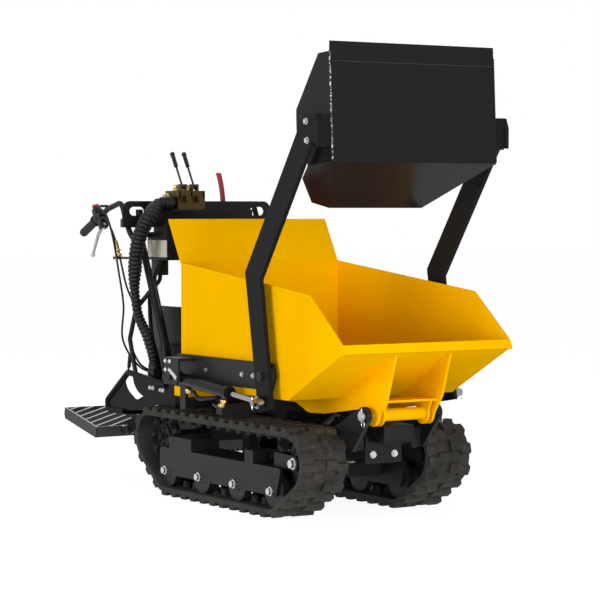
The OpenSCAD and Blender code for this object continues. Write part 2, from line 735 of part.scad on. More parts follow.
module hopper_tub() {
  color(yellow) {
    difference() {
      across(-hopper_half, hopper_half) tub_outline(0);
      across(-hopper_half + sheet_t, hopper_half - sheet_t) union() {
        tub_outline(sheet_t);
        polygon([[hopper_rear_x + sheet_t, rear_wall_z - 40], [shoulder_x, shoulder_z - 40],
          [lip_x, lip_z - 0.01],
          [lip_x, lip_z + 400], [hopper_rear_x + sheet_t, lip_z + 400]]);
      }
    }
    // Back flap that leans to the rear
    across(-hopper_half, hopper_half)
      polygon([[hopper_rear_x, rear_wall_z - 12], [hopper_rear_x + sheet_t, rear_wall_z - 12],
        [flap_top_x + sheet_t, flap_top_z], [flap_top_x, flap_top_z]]);
    // Cheeks that close the flap to the side walls
    for (s = [-1, 1])
      across(s * (hopper_half - sheet_t / 2) - sheet_t / 2, s * (hopper_half - sheet_t / 2) + sheet_t / 2)
        polygon([[hopper_rear_x, rear_wall_z - 30], [hopper_rear_x + 70, rear_wall_z - 30],
          [hopper_rear_x + 70, rear_wall_z - 7], [hopper_rear_x, rear_wall_z]]);
    // Folded rim of the pouring lip
    across(-hopper_half, hopper_half)
      polygon([[lip_x - lip_back - sheet_t, lip_z], [lip_x - lip_back, lip_z], [lip_x, lip_z - lip_h],
        [lip_x - lip_back, lip_z - lip_h - 4], [lip_x - lip_back - 6, lip_z - lip_h - 3]]);
  }
}

gusset_out = gusset_in + gusset_t;
lobe_r = 38;
pivot_tube_r = 22;
under_tube_w = 50;
under_tube_h = 38;
gusset_rear_x = tip_x - 410;
gusset_low_z = tip_z - 20;
gusset_mid_x = tip_x - 305;
gusset_toe = [tip_x + 86, tip_z + 61];
gusset_front_x = tip_x + 138;
module gusset_outline() {
  chute = (lip_z - lip_h - floor_z) / (lip_x - lip_back - floor_front_x);
  union() {
    translate([tip_x, tip_z]) circle(r = lobe_r);
    polygon([[hopper_rear_x - 5 + under_tube_w, floor_z], [hopper_rear_x - 5 + under_tube_w,
      floor_z - under_tube_h],
      [gusset_rear_x - 90, floor_z - under_tube_h], [gusset_rear_x, gusset_low_z],
        [gusset_mid_x, gusset_low_z + 4], [tip_x - 55, tip_z + 20],
      [tip_x - lobe_r * 0.7, tip_z + lobe_r * 0.7], [tip_x, tip_z + lobe_r - 30], [tip_x + lobe_r, tip_z],
      gusset_toe, [gusset_front_x, floor_z + (gusset_front_x - floor_front_x) * chute - 0.5],
        [floor_front_x, floor_z - 0.2]]);
  }
}

module hopper_hinge_frame() {
  bracket_in = gusset_in - 20;
  color(yellow) difference() {
    union() {
      both_sides() {
        across(gusset_in, gusset_out) gusset_outline();
        across(bracket_in, bracket_in + 8) union() {
          translate([tip_x, tip_z]) circle(r = lobe_r);
          polygon([[tip_x - 26, tip_z + 20], [tip_x + 34, tip_z + 10], [tip_x + 58, floor_z + 5],
            [tip_x - 26, floor_z + 5]]);
        }
      }
      bar_across(tip_x, tip_z, pivot_tube_r, -gusset_in, gusset_in);
      block([tip_x - 26, -gusset_in, floor_z - 3], [tip_x + 58, gusset_in, floor_z + 5]);
      // Rear cross tube and the lug pair of the tipping cylinder
      block([hopper_rear_x - 5, -hopper_half - 5, floor_z - under_tube_h],
        [hopper_rear_x - 5 + under_tube_w, hopper_half + 5, floor_z]);
      for (s = [-1, 1])
        across(s * (eye_t / 2 + 9) - 5, s * (eye_t / 2 + 9) + 5)
          polygon([[tip_front_x - 40, floor_z], [tip_front_x - 20, tip_front_z - 18],
            [tip_front_x + 20, tip_front_z - 18],
            [tip_front_x + 40, floor_z]]);
    }
    bar_across(tip_x, tip_z, tip_pin_r + run_gap, -gusset_out - 1, gusset_out + 1);
  }
}

tip_pin_end = rail_out + ear_t + 14;
module hopper_pin() {
  color(zinc) {
    bar_across(tip_x, tip_z, tip_pin_r, -tip_pin_end, tip_pin_end);
    for (s = [-1, 1])
      bar_across(tip_x, tip_z, tip_pin_r + 6, s * (tip_pin_end - 6) - 4, s * (tip_pin_end - 6) + 4);
  }
}

// Hydraulic cylinders are drawn along +X from their rear pin

// Barrel with a rear eye, a bored tube and a gland
module barrel_body(len, r, bore_r, rod_r, pin_r) {
  wall_end = 44;
  difference() {
    union() {
      rotate([90, 0, 0]) cylinder(r = eye_r, h = eye_t, center = true);
      rotate([0, 90, 0]) {
        translate([0, 0, eye_r - 8]) cylinder(r = r * 0.8, h = 30);
        translate([0, 0, wall_end - 12]) cylinder(r = r, h = len - wall_end + 12);
        translate([0, 0, len - 24]) cylinder(r = r + 4, h = 24);
      }
      // Port bosses for the hoses
      for (x = [wall_end + 40, len - 40]) translate([x, 0, 0]) rotate([180, 0, 0]) cylinder(r = 9,
        h = r + 12);
    }
    rotate([90, 0, 0]) cylinder(r = pin_r + run_gap, h = eye_t + 2, center = true);
    rotate([0, 90, 0]) {
      translate([0, 0, wall_end]) cylinder(r = bore_r, h = len - wall_end - 14);
      translate([0, 0, len - 15]) cylinder(r = rod_r + run_gap, h = 16);
    }
  }
}

// Rod with a piston at its tail and an eye at reach
module rod_body(tail, reach, rod_r, bore_r, pin_r) {
  piston_t = 18;
  difference() {
    union() {
      rotate([0, 90, 0]) {
        translate([0, 0, tail]) cylinder(r = bore_r - face_gap, h = piston_t);
        translate([0, 0, tail]) cylinder(r = rod_r, h = reach - tail - eye_r + 6);
      }
      translate([reach, 0, 0]) rotate([90, 0, 0]) cylinder(r = eye_r - 2, h = eye_t, center = true);
    }
    translate([reach, 0, 0]) rotate([90, 0, 0]) cylinder(r = pin_r, h = eye_t + 2, center = true);
  }
}

lift_barrel_len = 382;
lift_piston = 325;
module place_lift(side) {
  on_side(side) translate([lift_rear_x, eye_mid, lift_rear_z]) rotate([0, -lift_angle, 0]) children();
}

module lift_barrel(side) {
  color(black) place_lift(side) barrel_body(lift_barrel_len, lift_barrel_r, lift_bore_r, lift_rod_r,
    eye_pin_r);
}

module lift_rod(side) {
  color(zinc) {
    place_lift(side) rod_body(lift_piston, lift_len, lift_rod_r, lift_bore_r, eye_pin_r);
    // Pin of the rod end, with its nut and washer outside
    on_side(side) {
      bar_across(lift_front_x, lift_front_z, eye_pin_r, eye_in - 2, eye_in + eye_t + 22);
      bar_across(lift_front_x, lift_front_z, eye_pin_r + 9, eye_in + eye_t, eye_in + eye_t + 4);
      translate([lift_front_x, eye_in + eye_t + 18, lift_front_z]) rotate([90, 0, 0])
        cylinder(r = eye_pin_r + 6, h = 14, $fn = 6);
    }
  }
}

tip_barrel_len = 345;
tip_piston = 56;
module place_tip() {
  translate([tip_rear_x, 0, tip_rear_z]) rotate([0, -tip_angle, 0]) children();
}

module tip_barrel() {
  color(black) place_tip() barrel_body(tip_barrel_len, tip_barrel_r, tip_bore_r, tip_rod_r, eye_pin_r);
}

module tip_rod() {
  color(zinc) {
    place_tip() rod_body(tip_piston, tip_len, tip_rod_r, tip_bore_r, eye_pin_r);
    bar_across(tip_front_x, tip_front_z, eye_pin_r, -eye_t / 2 - 2, eye_t / 2 + 2);
  }
}

// Loader

side_plate_rear_x = -45;
side_plate_low_z = 450;
side_plate_top_z = 545;
clevis_t = 8;
clevis_top_z = 536;
clevis_rear_x = lift_rear_x - 48;
clevis_front_x = lift_rear_x + 62;
clevis_low_z = lift_rear_z - 25;
module side_plate_outline() {
  union() {
    polygon([[side_plate_rear_x, side_plate_low_z - 28], [side_plate_rear_x, side_plate_top_z],
      [loader_x + 40, side_plate_top_z],
      [loader_x + 52, loader_z], [loader_x + 30, side_plate_low_z], [lift_rear_x + 30, side_plate_low_z],
      [lift_rear_x + 20, side_plate_low_z - 28]]);
    for (x = cross_beam_xs)
      translate([x, cross_beam_low_z]) square([cross_beam_w, side_plate_low_z + 2 - cross_beam_low_z]);
  }
}

module loader_side_plates() {
  clevis_out = clevis_in + clevis_t;
  color(black) both_sides() {
    across(side_plate_in, side_plate_out) side_plate_outline();
    // Clevis for the rear pin of the lift cylinder
    across(clevis_in, clevis_out)
      polygon([[clevis_rear_x, clevis_low_z], [clevis_rear_x, clevis_top_z],
        [clevis_front_x, clevis_top_z],
        [clevis_front_x, clevis_low_z + 15], [clevis_front_x - 22, clevis_low_z]]);
    block([clevis_rear_x, side_plate_out, clevis_top_z - 12], [clevis_front_x, clevis_in, clevis_top_z]);
    bar_across(lift_rear_x, lift_rear_z, eye_pin_r, side_plate_out, clevis_out + 6);
  }
}

flange_r = 50;
pivot_nut_t = 8;
module pivot_flanges() {
  color(zinc) both_sides() {
    bar_across(loader_x, loader_z, flange_r, side_plate_out, arm_in - face_gap);
    bar_across(loader_x, loader_z, loader_shaft_r, side_plate_out, arm_out + face_gap);
    bar_across(loader_x, loader_z, loader_shaft_r - 4, arm_out + face_gap,
      arm_out + face_gap + pivot_nut_t);
  }
}

// Arm: a flat bar bent once, with its pivot bore
arm_lower = [arm_bend_x - loader_x, arm_bend_z - loader_z] / norm([arm_bend_x - loader_x,
  arm_bend_z - loader_z]);
arm_upper = [arm_top_x - arm_bend_x, arm_top_z - arm_bend_z] / norm([arm_top_x - arm_bend_x,
  arm_top_z - arm_bend_z]);
function left_of(d) = [-d.y, d.x];
arm_foot = [loader_x, loader_z] - arm_lower * 118;
arm_miter = (left_of(arm_lower) + left_of(arm_upper)) / (1 + left_of(arm_lower) * left_of(arm_upper));
module arm_outline() {
  h = arm_w / 2;
  bend = [arm_bend_x, arm_bend_z];
  top = [arm_top_x, arm_top_z];
  polygon([arm_foot - left_of(arm_lower) * h, bend - arm_miter * h,
    top - left_of(arm_upper) * h + arm_upper * -26,
    [arm_top_x + 62, arm_top_z - 62], [arm_top_x + 62, arm_top_z + 10], [arm_top_x + 48, arm_top_z + 44],
    [arm_top_x - 22, arm_top_z + 44], top + left_of(arm_upper) * h + arm_upper * -10,
      bend + arm_miter * h,
    arm_foot + left_of(arm_lower) * h * 0.8]);
}

bracket_x0 = arm_top_x - 40;
bracket_x1 = arm_top_x + 56;
bracket_z0 = arm_top_z - 66;
bracket_z1 = arm_top_z + 44;
shovel_bolt_r = 9;
shovel_bolts_at = [[arm_top_x - 6, arm_top_z + 20], [arm_top_x, arm_top_z - 44]];
module arm(side) {
  color(black) on_side(side) {
    difference() {
      across(arm_in, arm_out) arm_outline();
      bar_across(loader_x, loader_z, loader_shaft_r + run_gap, arm_in - 1, arm_out + 1);
    }
    // Channel that carries the shovel
    difference() {
      block([bracket_x0, shovel_half, bracket_z0], [bracket_x1, arm_in, bracket_z1]);
      block([bracket_x0 - 1, shovel_half - 1, bracket_z0 + 12],
        [bracket_x1 - 12, arm_in - 12, bracket_z1 - 12]);
    }
  }
}

// Shovel: floor and side walls above the fold, a tapering chute below it
wall_rear_x = shovel_fold_x - 231;
wall_top_x = shovel_fold_x - 91;
wall_rear_top_z = shovel_fold_z + 180;
wall_rear_low_z = shovel_fold_z + 108;
fold = [shovel_fold_x, shovel_half, shovel_fold_z];
mouth = [shovel_fold_x - 246, mouth_half, shovel_fold_z - 154];
mouth_side = mouth + [-71, 26, 19];
facet_side = [shovel_fold_x - 254, shovel_half - 39, shovel_fold_z - 53];
wall_foot = [shovel_fold_x - 156, shovel_half, shovel_fold_z - 11];
function flip(p) = [p.x, -p.y, p.z];

module shovel() {
  t = shovel_t;
  wall_top_z = shovel_edge_z - 34;
  floor_lean = (shovel_fold_x - shovel_edge_x) / (shovel_edge_z - shovel_fold_z);
  function floor_x(z) = shovel_fold_x - (z - shovel_fold_z) * floor_lean;
  strip_z = shovel_edge_z - edge_strip_h;
  color(black) {
    across(-shovel_half, shovel_half)
      polygon([[shovel_fold_x, shovel_fold_z], [floor_x(strip_z), strip_z],
        [floor_x(strip_z) - t, strip_z],
        [shovel_fold_x - t, shovel_fold_z]]);
    both_sides() across(shovel_half - t, shovel_half)
      polygon([[shovel_fold_x, shovel_fold_z], [floor_x(strip_z) - t / 2, strip_z],
        [floor_x(wall_top_z) - t - face_gap, strip_z],
        [floor_x(wall_top_z) - t - face_gap, wall_top_z], [wall_top_x, wall_top_z - 4],
          [wall_rear_x, wall_rear_top_z],
        [wall_rear_x + 3, wall_rear_low_z],
        [wall_foot.x, wall_foot.z]]);
    sheet([fold, flip(fold), flip(mouth), mouth], t);
    sheet([fold, mouth, mouth_side, facet_side, wall_foot], t);
    mirror([0, 1, 0]) sheet([fold, mouth, mouth_side, facet_side, wall_foot], t);
  }
}

module cutting_edge() {
  t = shovel_t + 2;
  lean = (shovel_fold_x - shovel_edge_x) / (shovel_edge_z - shovel_fold_z);
  strip_z = shovel_edge_z - edge_strip_h;
  x0 = shovel_fold_x - (strip_z - shovel_fold_z) * lean;
  color(black) across(-shovel_half, shovel_half)
    polygon([[x0 + 1, strip_z], [shovel_edge_x + 1, shovel_edge_z], [shovel_edge_x - 2, shovel_edge_z],
      [x0 - t + 1, strip_z + 26], [x0 - t + 1, strip_z]]);
}

module shovel_bolts() {
  color(zinc) both_sides() for (p = shovel_bolts_at)
    mirror([0, 1, 0]) side_bolt(p.x, -arm_out, p.y, shovel_bolt_r);
}

// Hoses of the lift cylinders: each comes out of the side plate and ends just short of a port
lift_hose_r = 7;
module lift_hoses() {
  y0 = side_plate_out;
  low_z = cross_beam_top_z + 6;
  tab_x = cross_beam_xs[1] + cross_beam_w / 2;
  function run(x, z) = [[tab_x, y0 + 0.4, low_z], [tab_x, y0 + 7, low_z], [tab_x, y0 + 14, low_z],
    [tab_x + (x - tab_x) * 0.2, y0 + 30, low_z - 3],
    [tab_x + (x - tab_x) * 0.6, eye_mid - 2, low_z - 8], [x - sign(x - tab_x) * 16, eye_mid, z],
      [x, eye_mid, z]];
  color(black) both_sides() {
    front = spline(run(lift_rear_x + lift_barrel_len - 62, 380), 4);
    rear = spline([for (q = run(lift_rear_x + 104, 398)) q + [0, 0, 18]], 4);
    swept(front, [for (q = front) lift_hose_r], 8, [0, 0, 1]);
    swept(rear, [for (q = rear) lift_hose_r], 8, [0, 0, 1]);
  }
}

// Engine on the deck

engine_x0 = -575;
engine_x1 = -350;
engine_half = 140;
crank_x = -455;
crank_z = deck_z + 92;
tank_low_z = deck_z + 196;
tank_top_z = deck_z + 292;
module engine_block() {
  fin_count = 5;
  color(black) {
    block([engine_x0 + 15, -engine_half, deck_z], [engine_x1 - 20, engine_half - 42, deck_z + 20]);
    block([engine_x0 + 30, -engine_half + 30, deck_z + 20], [engine_x1 - 50, engine_half - 40,
      deck_z + 150]);
    // Inclined cylinder with its cooling fins
    translate([crank_x + 30, 0, crank_z + 20]) rotate([0, 65, 0]) {
      translate([-38, -45, 0]) cube([76, 90, 92]);
      for (k = [0:fin_count - 1])
        translate([-56, -62, 20 + k * 13]) cube([112, 124, 6]);
    }
    // Tank straps
    for (x = [engine_x0 + 40, engine_x1 - 70])
      block([x, -60, deck_z + 150], [x + 24, 60, tank_low_z]);
    bar_across(crank_x, crank_z, 16, -engine_half - 22, -engine_half + 30);
  }
}

shroud_r = 88;
module engine_shroud() {
  slots = 12;
  color(black) difference() {
    union() {
      bar_across(crank_x, crank_z, shroud_r, engine_half - 40, engine_half + 20);
      bar_across(crank_x, crank_z, shroud_r - 26, engine_half + 20, engine_half + 48);
    }
    for (k = [0:slots - 1])
      translate([crank_x, 0, crank_z]) rotate([0, k * 360 / slots, 0])
        block([36, engine_half + 34, -4], [shroud_r - 34, engine_half + 50, 4]);
  }
}

module fuel_tank() {
  corner = 26;
  color(black) translate([0, 0, tank_low_z]) linear_extrude(tank_top_z - tank_low_z) union() {
    for (x = [engine_x0 + corner, engine_x1 - corner]) for (y = [-engine_half + corner,
      engine_half - corner])
      translate([x, y]) circle(r = corner);
    translate([engine_x0 + corner, -engine_half]) square([engine_x1 - engine_x0 - 2 * corner,
      2 * engine_half]);
    translate([engine_x0, -engine_half + corner]) square([engine_x1 - engine_x0,
      2 * engine_half - 2 * corner]);
  }
}

cap_x = -500;
cap_y = 70;
cap_r = 30;
cap_h = 18;
module fuel_cap() {
  ribs = 16;
  color(black) translate([cap_x, cap_y, tank_top_z]) difference() {
    cylinder(r = cap_r, h = cap_h);
    for (k = [0:ribs - 1]) rotate([0, 0, k * 360 / ribs]) translate([cap_r + 1, 0, 3]) cylinder(r = 3,
      h = cap_h);
  }
}

guard_y0 = -engine_half - 62;
module belt_guard() {
  input_x = sprocket_x + 60;
  color(black) {
    across(guard_y0, -engine_half - 24) union() {
      translate([crank_x, crank_z]) circle(r = 62);
      translate([input_x, crank_z + 6]) circle(r = 50);
      polygon([[crank_x, crank_z - 62], [input_x, crank_z - 44], [input_x, crank_z + 56],
        [crank_x, crank_z + 62]]);
    }
    block([crank_x - 20, guard_y0 + 6, deck_z], [input_x + 20, guard_y0 + 34, crank_z - 40]);
  }
}

// Console and controls

column_foot = [-346, deck_z];
column_knee = [-366, 560];
column_top = [console_x - 17, console_low_z + 30];
module console_column() {
  foot_plate = 34;
  color(black) {
    both_sides() {
      bent_tube([[column_foot.x, column_y, deck_z + 6], [column_knee.x, column_y, column_knee.y],
        [column_top.x, column_y, column_top.y - 46], [column_top.x, column_y, column_top.y + 40]],
          column_r, 60);
      block([column_foot.x - foot_plate, column_y - foot_plate, deck_z],
        [column_foot.x + foot_plate, column_y + foot_plate, deck_z + 8]);
    }
    // Tie between the columns, behind the engine
    bar_across(column_top.x, console_low_z - 30, 10, -column_y, column_y);
  }
}

panel_t = 8;
hand_hole_r = 17;
hand_hole_y = console_half - 62;
hand_hole_z = console_top_z - 40;
hand_hole_half = 16;
shelf_depth = 60;
shelf_half = console_half - 110;
box_half = 200;
box_depth = 112;
box_low_z = console_low_z - 128;
module panel_outline() {
  corner = 34;
  difference() {
    union() {
      for (s = [-1, 1]) translate([s * (console_half - corner),
        console_top_z - corner]) circle(r = corner);
      translate([-console_half + corner, console_low_z]) square([2 * (console_half - corner),
        console_top_z - console_low_z]);
      translate([-console_half, console_low_z]) square([2 * console_half,
        console_top_z - console_low_z - corner]);
    }
    for (s = [-1, 1]) {
      for (d = [-1, 1])
        translate([s * hand_hole_y + d * hand_hole_half, hand_hole_z]) circle(r = hand_hole_r);
      translate([s * hand_hole_y - hand_hole_half, hand_hole_z - hand_hole_r])
        square([2 * hand_hole_half, 2 * hand_hole_r]);
    }
  }
}

module console_panel() {
  color(black) {
    translate([console_x, 0, 0]) rotate([90, 0, 90]) linear_extrude(panel_t) panel_outline();
    // Folded top shelf with the valve stand, and the control box below
    difference() {
      block([console_x - shelf_depth, -shelf_half, console_top_z - 6],
        [console_x, shelf_half, console_top_z]);
      block([gear_foot.x - 22, gear_y - 8, console_top_z - 7], [gear_foot.x + 20, gear_y + 8,
        console_top_z + 1]);
    }
    // Ears and pin of the gear lever
    for (s = [-1, 1])
      block([gear_foot.x - 12, gear_y + s * 8.5 - 3, gear_foot.y - 12],
        [console_x, gear_y + s * 8.5 + 3, gear_foot.y + 12]);
    bar_across(gear_foot.x, gear_foot.y, lever_pin_r, gear_y - 9, gear_y + 9);
    block([console_x + panel_t, -170, console_top_z - 40], [console_x + panel_t + 118, -10,
      console_top_z - 32]);
    block([console_x + panel_t, -box_half, box_low_z], [console_x + panel_t + box_depth, box_half,
      console_low_z + 20]);
  }
}

// Handlebar route on one side, from the console to the grip's end
bar_route = [[console_x - 30, bar_y, console_low_z + 20], [console_x - 70, bar_y, console_top_z - 4],
  [console_x - 190, bar_y, console_top_z - 32], [-956, bar_y, 984]];
grip_dir = (bar_route[3] - bar_route[2]) / norm(bar_route[3] - bar_route[2]);
grip_tilt = atan2(bar_route[2].z - bar_route[3].z, bar_route[2].x - bar_route[3].x);
function along_bar(d) = bar_route[3] - grip_dir * d;

module handlebars() {
  color(black) both_sides() {
    bent_tube(bar_route, bar_r, 36);
    // Foot of the bar on the panel
    block([console_x - 46, bar_y - 20, console_low_z], [console_x, bar_y + 20, console_low_z + 34]);
    // Clamp that carries the hand lever
    translate(along_bar(172)) rotate([0, 90 - grip_tilt, 0]) cylinder(r = bar_r + 7, h = 30,
      center = true);
    translate(along_bar(172)) rotate([0, -grip_tilt, 0]) block([-15, 7, -56], [15, 15, 0]);
    translate(along_bar(172)) rotate([0, -grip_tilt, 0]) block([-15, -15, -56], [15, -7, 0]);
  }
}

grip_r = 17;
grip_len = 124;
module grips() {
  color(rubber) both_sides() difference() {
    union() {
      translate(along_bar(grip_len)) rotate([0, 270 - grip_tilt, 0]) cylinder(r = grip_r,
        h = grip_len + 6);
      translate(along_bar(grip_len)) rotate([0, 270 - grip_tilt, 0]) cylinder(r = grip_r + 7, h = 8);
    }
    translate(along_bar(grip_len + 1)) rotate([0, 270 - grip_tilt, 0]) cylinder(r = bar_r + run_gap,
      h = grip_len + 1.3);
  }
}

lever_pin_r = 4;
lever_drop = 44;
lever_pivot = along_bar(172) + [lever_drop * sin(grip_tilt), 0, -lever_drop * cos(grip_tilt)];
lever_t = 13;
module clutch_lever(side) {
  ball_r = 9;
  lever_end = lever_pivot + [-92, 0, -118];
  color(zinc) on_side(side) {
    bar_across(lever_pivot.x, lever_pivot.z, 14, bar_y - lever_t / 2, bar_y + lever_t / 2);
    bent_tube([lever_pivot, lever_pivot + [-44, 0, -36], lever_end], 5, 40);
    translate(lever_end) sphere(r = ball_r);
  }
}

throttle_r = 15;
throttle_at = along_bar(204) + [0, 0, bar_r + 8.5];
module throttle_lever() {
  color(black) {
    translate([throttle_at.x, -bar_y, throttle_at.z]) {
      cylinder(r = throttle_r, h = 10);
      translate([-6, -6, 2]) cube([12, 44, 7]);
      translate([0, 38, 2]) cylinder(r = 9, h = 12);
    }
  }
}

switch_at = along_bar(142);
module stop_switch() {
  color(black) translate([switch_at.x, -bar_y, switch_at.z]) rotate([0, -grip_tilt, 0]) difference() {
    union() {
      rotate([0, 90, 0]) cylinder(r = bar_r + 8, h = 26, center = true);
      block([-13, -14, 10], [13, 14, 44]);
    }
    rotate([0, 90, 0]) cylinder(r = bar_r + run_gap, h = 30, center = true);
    translate([0, 0, 32]) cylinder(r = 10, h = 13);
  }
}

button_r = 10 - face_gap;
button_travel = 5;
module stop_button() {
  color(red) translate([switch_at.x, -bar_y, switch_at.z]) rotate([0, -grip_tilt, 0]) {
    translate([0, 0, 32 + button_travel + face_gap]) cylinder(r = button_r, h = 12);
    translate([0, 0, 44 + button_travel + face_gap]) cylinder(r = button_r + 5, h = 8);
  }
}

// Valve block on its stand, with spool caps and ports
valve_x0 = console_x + panel_t + 6;
valve_x1 = valve_x0 + 104;
valve_low_z = console_top_z - 32;
valve_top_z = valve_low_z + 72;
valve_ys = [-116, -64];
lever_z = valve_top_z + 16;
lever_x = valve_x1 - 28;
hose_port_z = valve_low_z + 26;
module valve_block() {
  color(black) {
    difference() {
      block([valve_x0, -150, valve_low_z], [valve_x1, -30, valve_top_z]);
      for (y = [-90, -142, -38]) block([valve_x0 - 1, y - 3, valve_low_z + 40],
        [valve_x1 + 1, y + 3, valve_top_z + 1]);
    }
    for (y = valve_ys) {
      // Spool caps fore and aft, and the ears that carry a lever
      translate([valve_x1, y, valve_low_z + 40]) rotate([0, 90, 0]) cylinder(r = 13, h = 26);
      translate([valve_x0, y, valve_low_z + 40]) rotate([0, -90, 0]) cylinder(r = 11, h = 4);
      for (s = [-1, 1])
        block([lever_x - 11, y + s * 11.5 - 3.5, valve_top_z], [lever_x + 11, y + s * 11.5 + 3.5,
          lever_z + 10]);
      bar_across(lever_x, lever_z, lever_pin_r, y - 15, y + 15);
    }
    // Hose port on the right face
    translate([valve_x0 + 66, -150, hose_port_z]) rotate([90, 0, 0]) cylinder(r = hose_top_r - 4, h = 6);
  }
}

lever_reach = [-80, 128];
lever_stem_r = 4;
lever_grip_r = 8;
module valve_lever(n) {
  y = valve_ys[n];
  foot = [lever_x, y, lever_z];
  tip = foot + [lever_reach.x, 0, lever_reach.y];
  grip = foot + [lever_reach.x, 0, lever_reach.y] * 0.62;
  color(black) {
    difference() {
      bar_across(lever_x, lever_z, 10, y - 8 + face_gap, y + 8 - face_gap);
      bar_across(lever_x, lever_z, lever_pin_r + run_gap, y - 9, y + 9);
    }
    rod(foot + (grip - foot) * 0.1, grip, lever_stem_r);
    rod(grip, tip, lever_grip_r);
    translate(tip) sphere(r = lever_grip_r + 2);
  }
}

// Red gear lever that swings in a slot of the shelf
gear_y = 135;
gear_foot = [console_x - 26, console_top_z - 34];
gear_r = 300;
gear_half_w = 12;
module gear_lever() {
  t = 9;
  color(red) across(gear_y - t / 2, gear_y + t / 2) difference() {
    translate([gear_foot.x - gear_r, gear_foot.y]) difference() {
      circle(r = gear_r + gear_half_w, $fn = 96);
      circle(r = gear_r - gear_half_w, $fn = 96);
    }
    translate([gear_foot.x - 3 * gear_r, gear_foot.y - 2 * gear_r - 10]) square([4 * gear_r, 2 * gear_r]);
    translate([gear_foot.x - 3 * gear_r, gear_foot.y + 148]) square([4 * gear_r, 2 * gear_r]);
    translate([gear_foot.x - 3 * gear_r, gear_foot.y - 3 * gear_r]) square([2 * gear_r, 6 * gear_r]);
    translate([gear_foot.x, gear_foot.y]) circle(r = lever_pin_r + run_gap);
  }
}

// Ribbed hose from the valve block to the bulkhead on the deck
hose_route = [[valve_x0 + 66, -156.4, hose_port_z], [valve_x0 + 66, -172, hose_port_z],
  [valve_x0 + 66, -190, hose_port_z],
  [valve_x0 + 62, -214, hose_port_z - 8], [-460, -258, 1058], [-472, -290, 996], [-484, -307, 925],
    [-491, -311, 850],
  [-494, -311, 770], [-474, -306, 670], [-424, -294, 590], [-412, -279, 532],
    [hose_foot.x, hose_foot.y, deck_z + 96],
  [hose_foot.x, hose_foot.y, deck_z + 78], [hose_foot.x, hose_foot.y, deck_z + 60.4]];
rib_rings = 2;
hose_wall = 3;
rib_depth = 2.5;
module ribbed_hose() {
  smooth = spline(hose_route, 16);
  n = hose_ribs * rib_rings;
  function run_to(i) = i == 0 ? 0 : run_to(i - 1) + norm(smooth[i] - smooth[i - 1]);
  lengths = [for (i = [0:len(smooth) - 1]) run_to(i)];
  total = lengths[len(lengths) - 1];
  function seek(s, i) = i >= len(lengths) - 2 || lengths[i + 1] >= s ? i : seek(s, i + 1);
  function on_route(s) = let (i = seek(s, 0), t = (s - lengths[i]) / (lengths[i + 1] - lengths[i]))
    smooth[i] + (smooth[i + 1] - smooth[i]) * t;
  p = [for (k = [0:n]) on_route(total * k / n)];
  crest = [for (k = [0:n]) hose_top_r + (hose_foot_r - hose_top_r) * k / n];
  outer = [for (k = [0:n]) crest[k] - (k % rib_rings == 0 ? rib_depth : 0)];
  bores = [for (k = [0:n]) crest[k] - rib_depth - hose_wall];
  color(black) swept_hollow(p, outer, bores, 8, [1, 0, 0]);
}

// Cables from the hand levers and the gear lever down to the gearbox
cable_r = 4;
bar_ahead = [cos(grip_tilt), 0, sin(grip_tilt)];
cable_start = along_bar(172) + [15 * cos(grip_tilt) + 20 * sin(grip_tilt), 11,
  15 * sin(grip_tilt) - 20 * cos(grip_tilt)];
lever_route = [cable_start + bar_ahead * 0.4, cable_start + bar_ahead * 6, cable_start + bar_ahead * 14,
  [-738, 310, 1038], [-690, 306, 990], [-648, 298, 900], [-632, 276, 780], [-618, 246, 680], [-640, 256, 570],
  [-624, 222, 470], [-606, 160, 432], [-598, 126, deck_z + 22], [-598, 126, deck_z + 10],
  [-598, 126, deck_z + 0.4]];
function lever_cable(s) = [for (q = lever_route) [q.x, s * q.y, q.z]];
throttle_end = [throttle_at.x, -bar_y - throttle_r - 0.6, throttle_at.z + 5];
throttle_cable = [throttle_end, throttle_end - [0, 5, 0], throttle_end - [0, 10, 0],
  throttle_end + [14, -15, -6], [-700, -326, 1052], [-664, -316, 960], [-648, -302, 840], [-640, -284, 700],
  [-652, -280, 560], [-640, -206, 450], [-610, -112, deck_z + 24], [-610, -108, deck_z + 10],
  [-610, -108, deck_z + 0.4]];
cable_routes = [lever_cable(1), lever_cable(-1), throttle_cable];
module control_cables() {
  color(black) for (route = cable_routes) {
    p = spline(route, 3);
    swept(p, [for (q = p) cable_r], 8, [0, 0, 1]);
  }
}

// Rear guard: two bent tube loops with webs, and ties between them
guard_r = 12;
guard_y = 300;
guard_foot = [-600, 284];
guard_knee = [-570, 440];
guard_tail = [-758, 312];
module rear_guard() {
  web_t = 4;
  color(black) {
    both_sides() {
      bent_tube([[-260, guard_y, deck_z + 12], [guard_knee.x, guard_y, guard_knee.y],
        [guard_tail.x, guard_y, guard_tail.y], [guard_tail.x + 30, guard_y, guard_foot.y - 2],
        [guard_foot.x, guard_y, guard_foot.y]], guard_r, 22);
      block([-330, column_y + 34, deck_z - deck_t], [-236, guard_y + 2, deck_z]);
      block([-322, guard_y - 14, deck_z], [-236, guard_y + 2, deck_z + 10]);
      difference() {
        across(guard_y - web_t / 2, guard_y + web_t / 2)
          polygon([guard_knee + [4, -6], guard_tail + [10, -2], guard_tail + [34, -24],
            guard_foot + [-2, 4],
            guard_foot + [0, 26]]);
        bar_across(guard_knee.x + 10, guard_knee.y - 68, 70, guard_y - web_t, guard_y + web_t);
      }
      block([guard_foot.x - 12, bracket_out, guard_foot.y - 14],
        [guard_foot.x, guard_y, guard_foot.y + 12]);
    }
  }
}

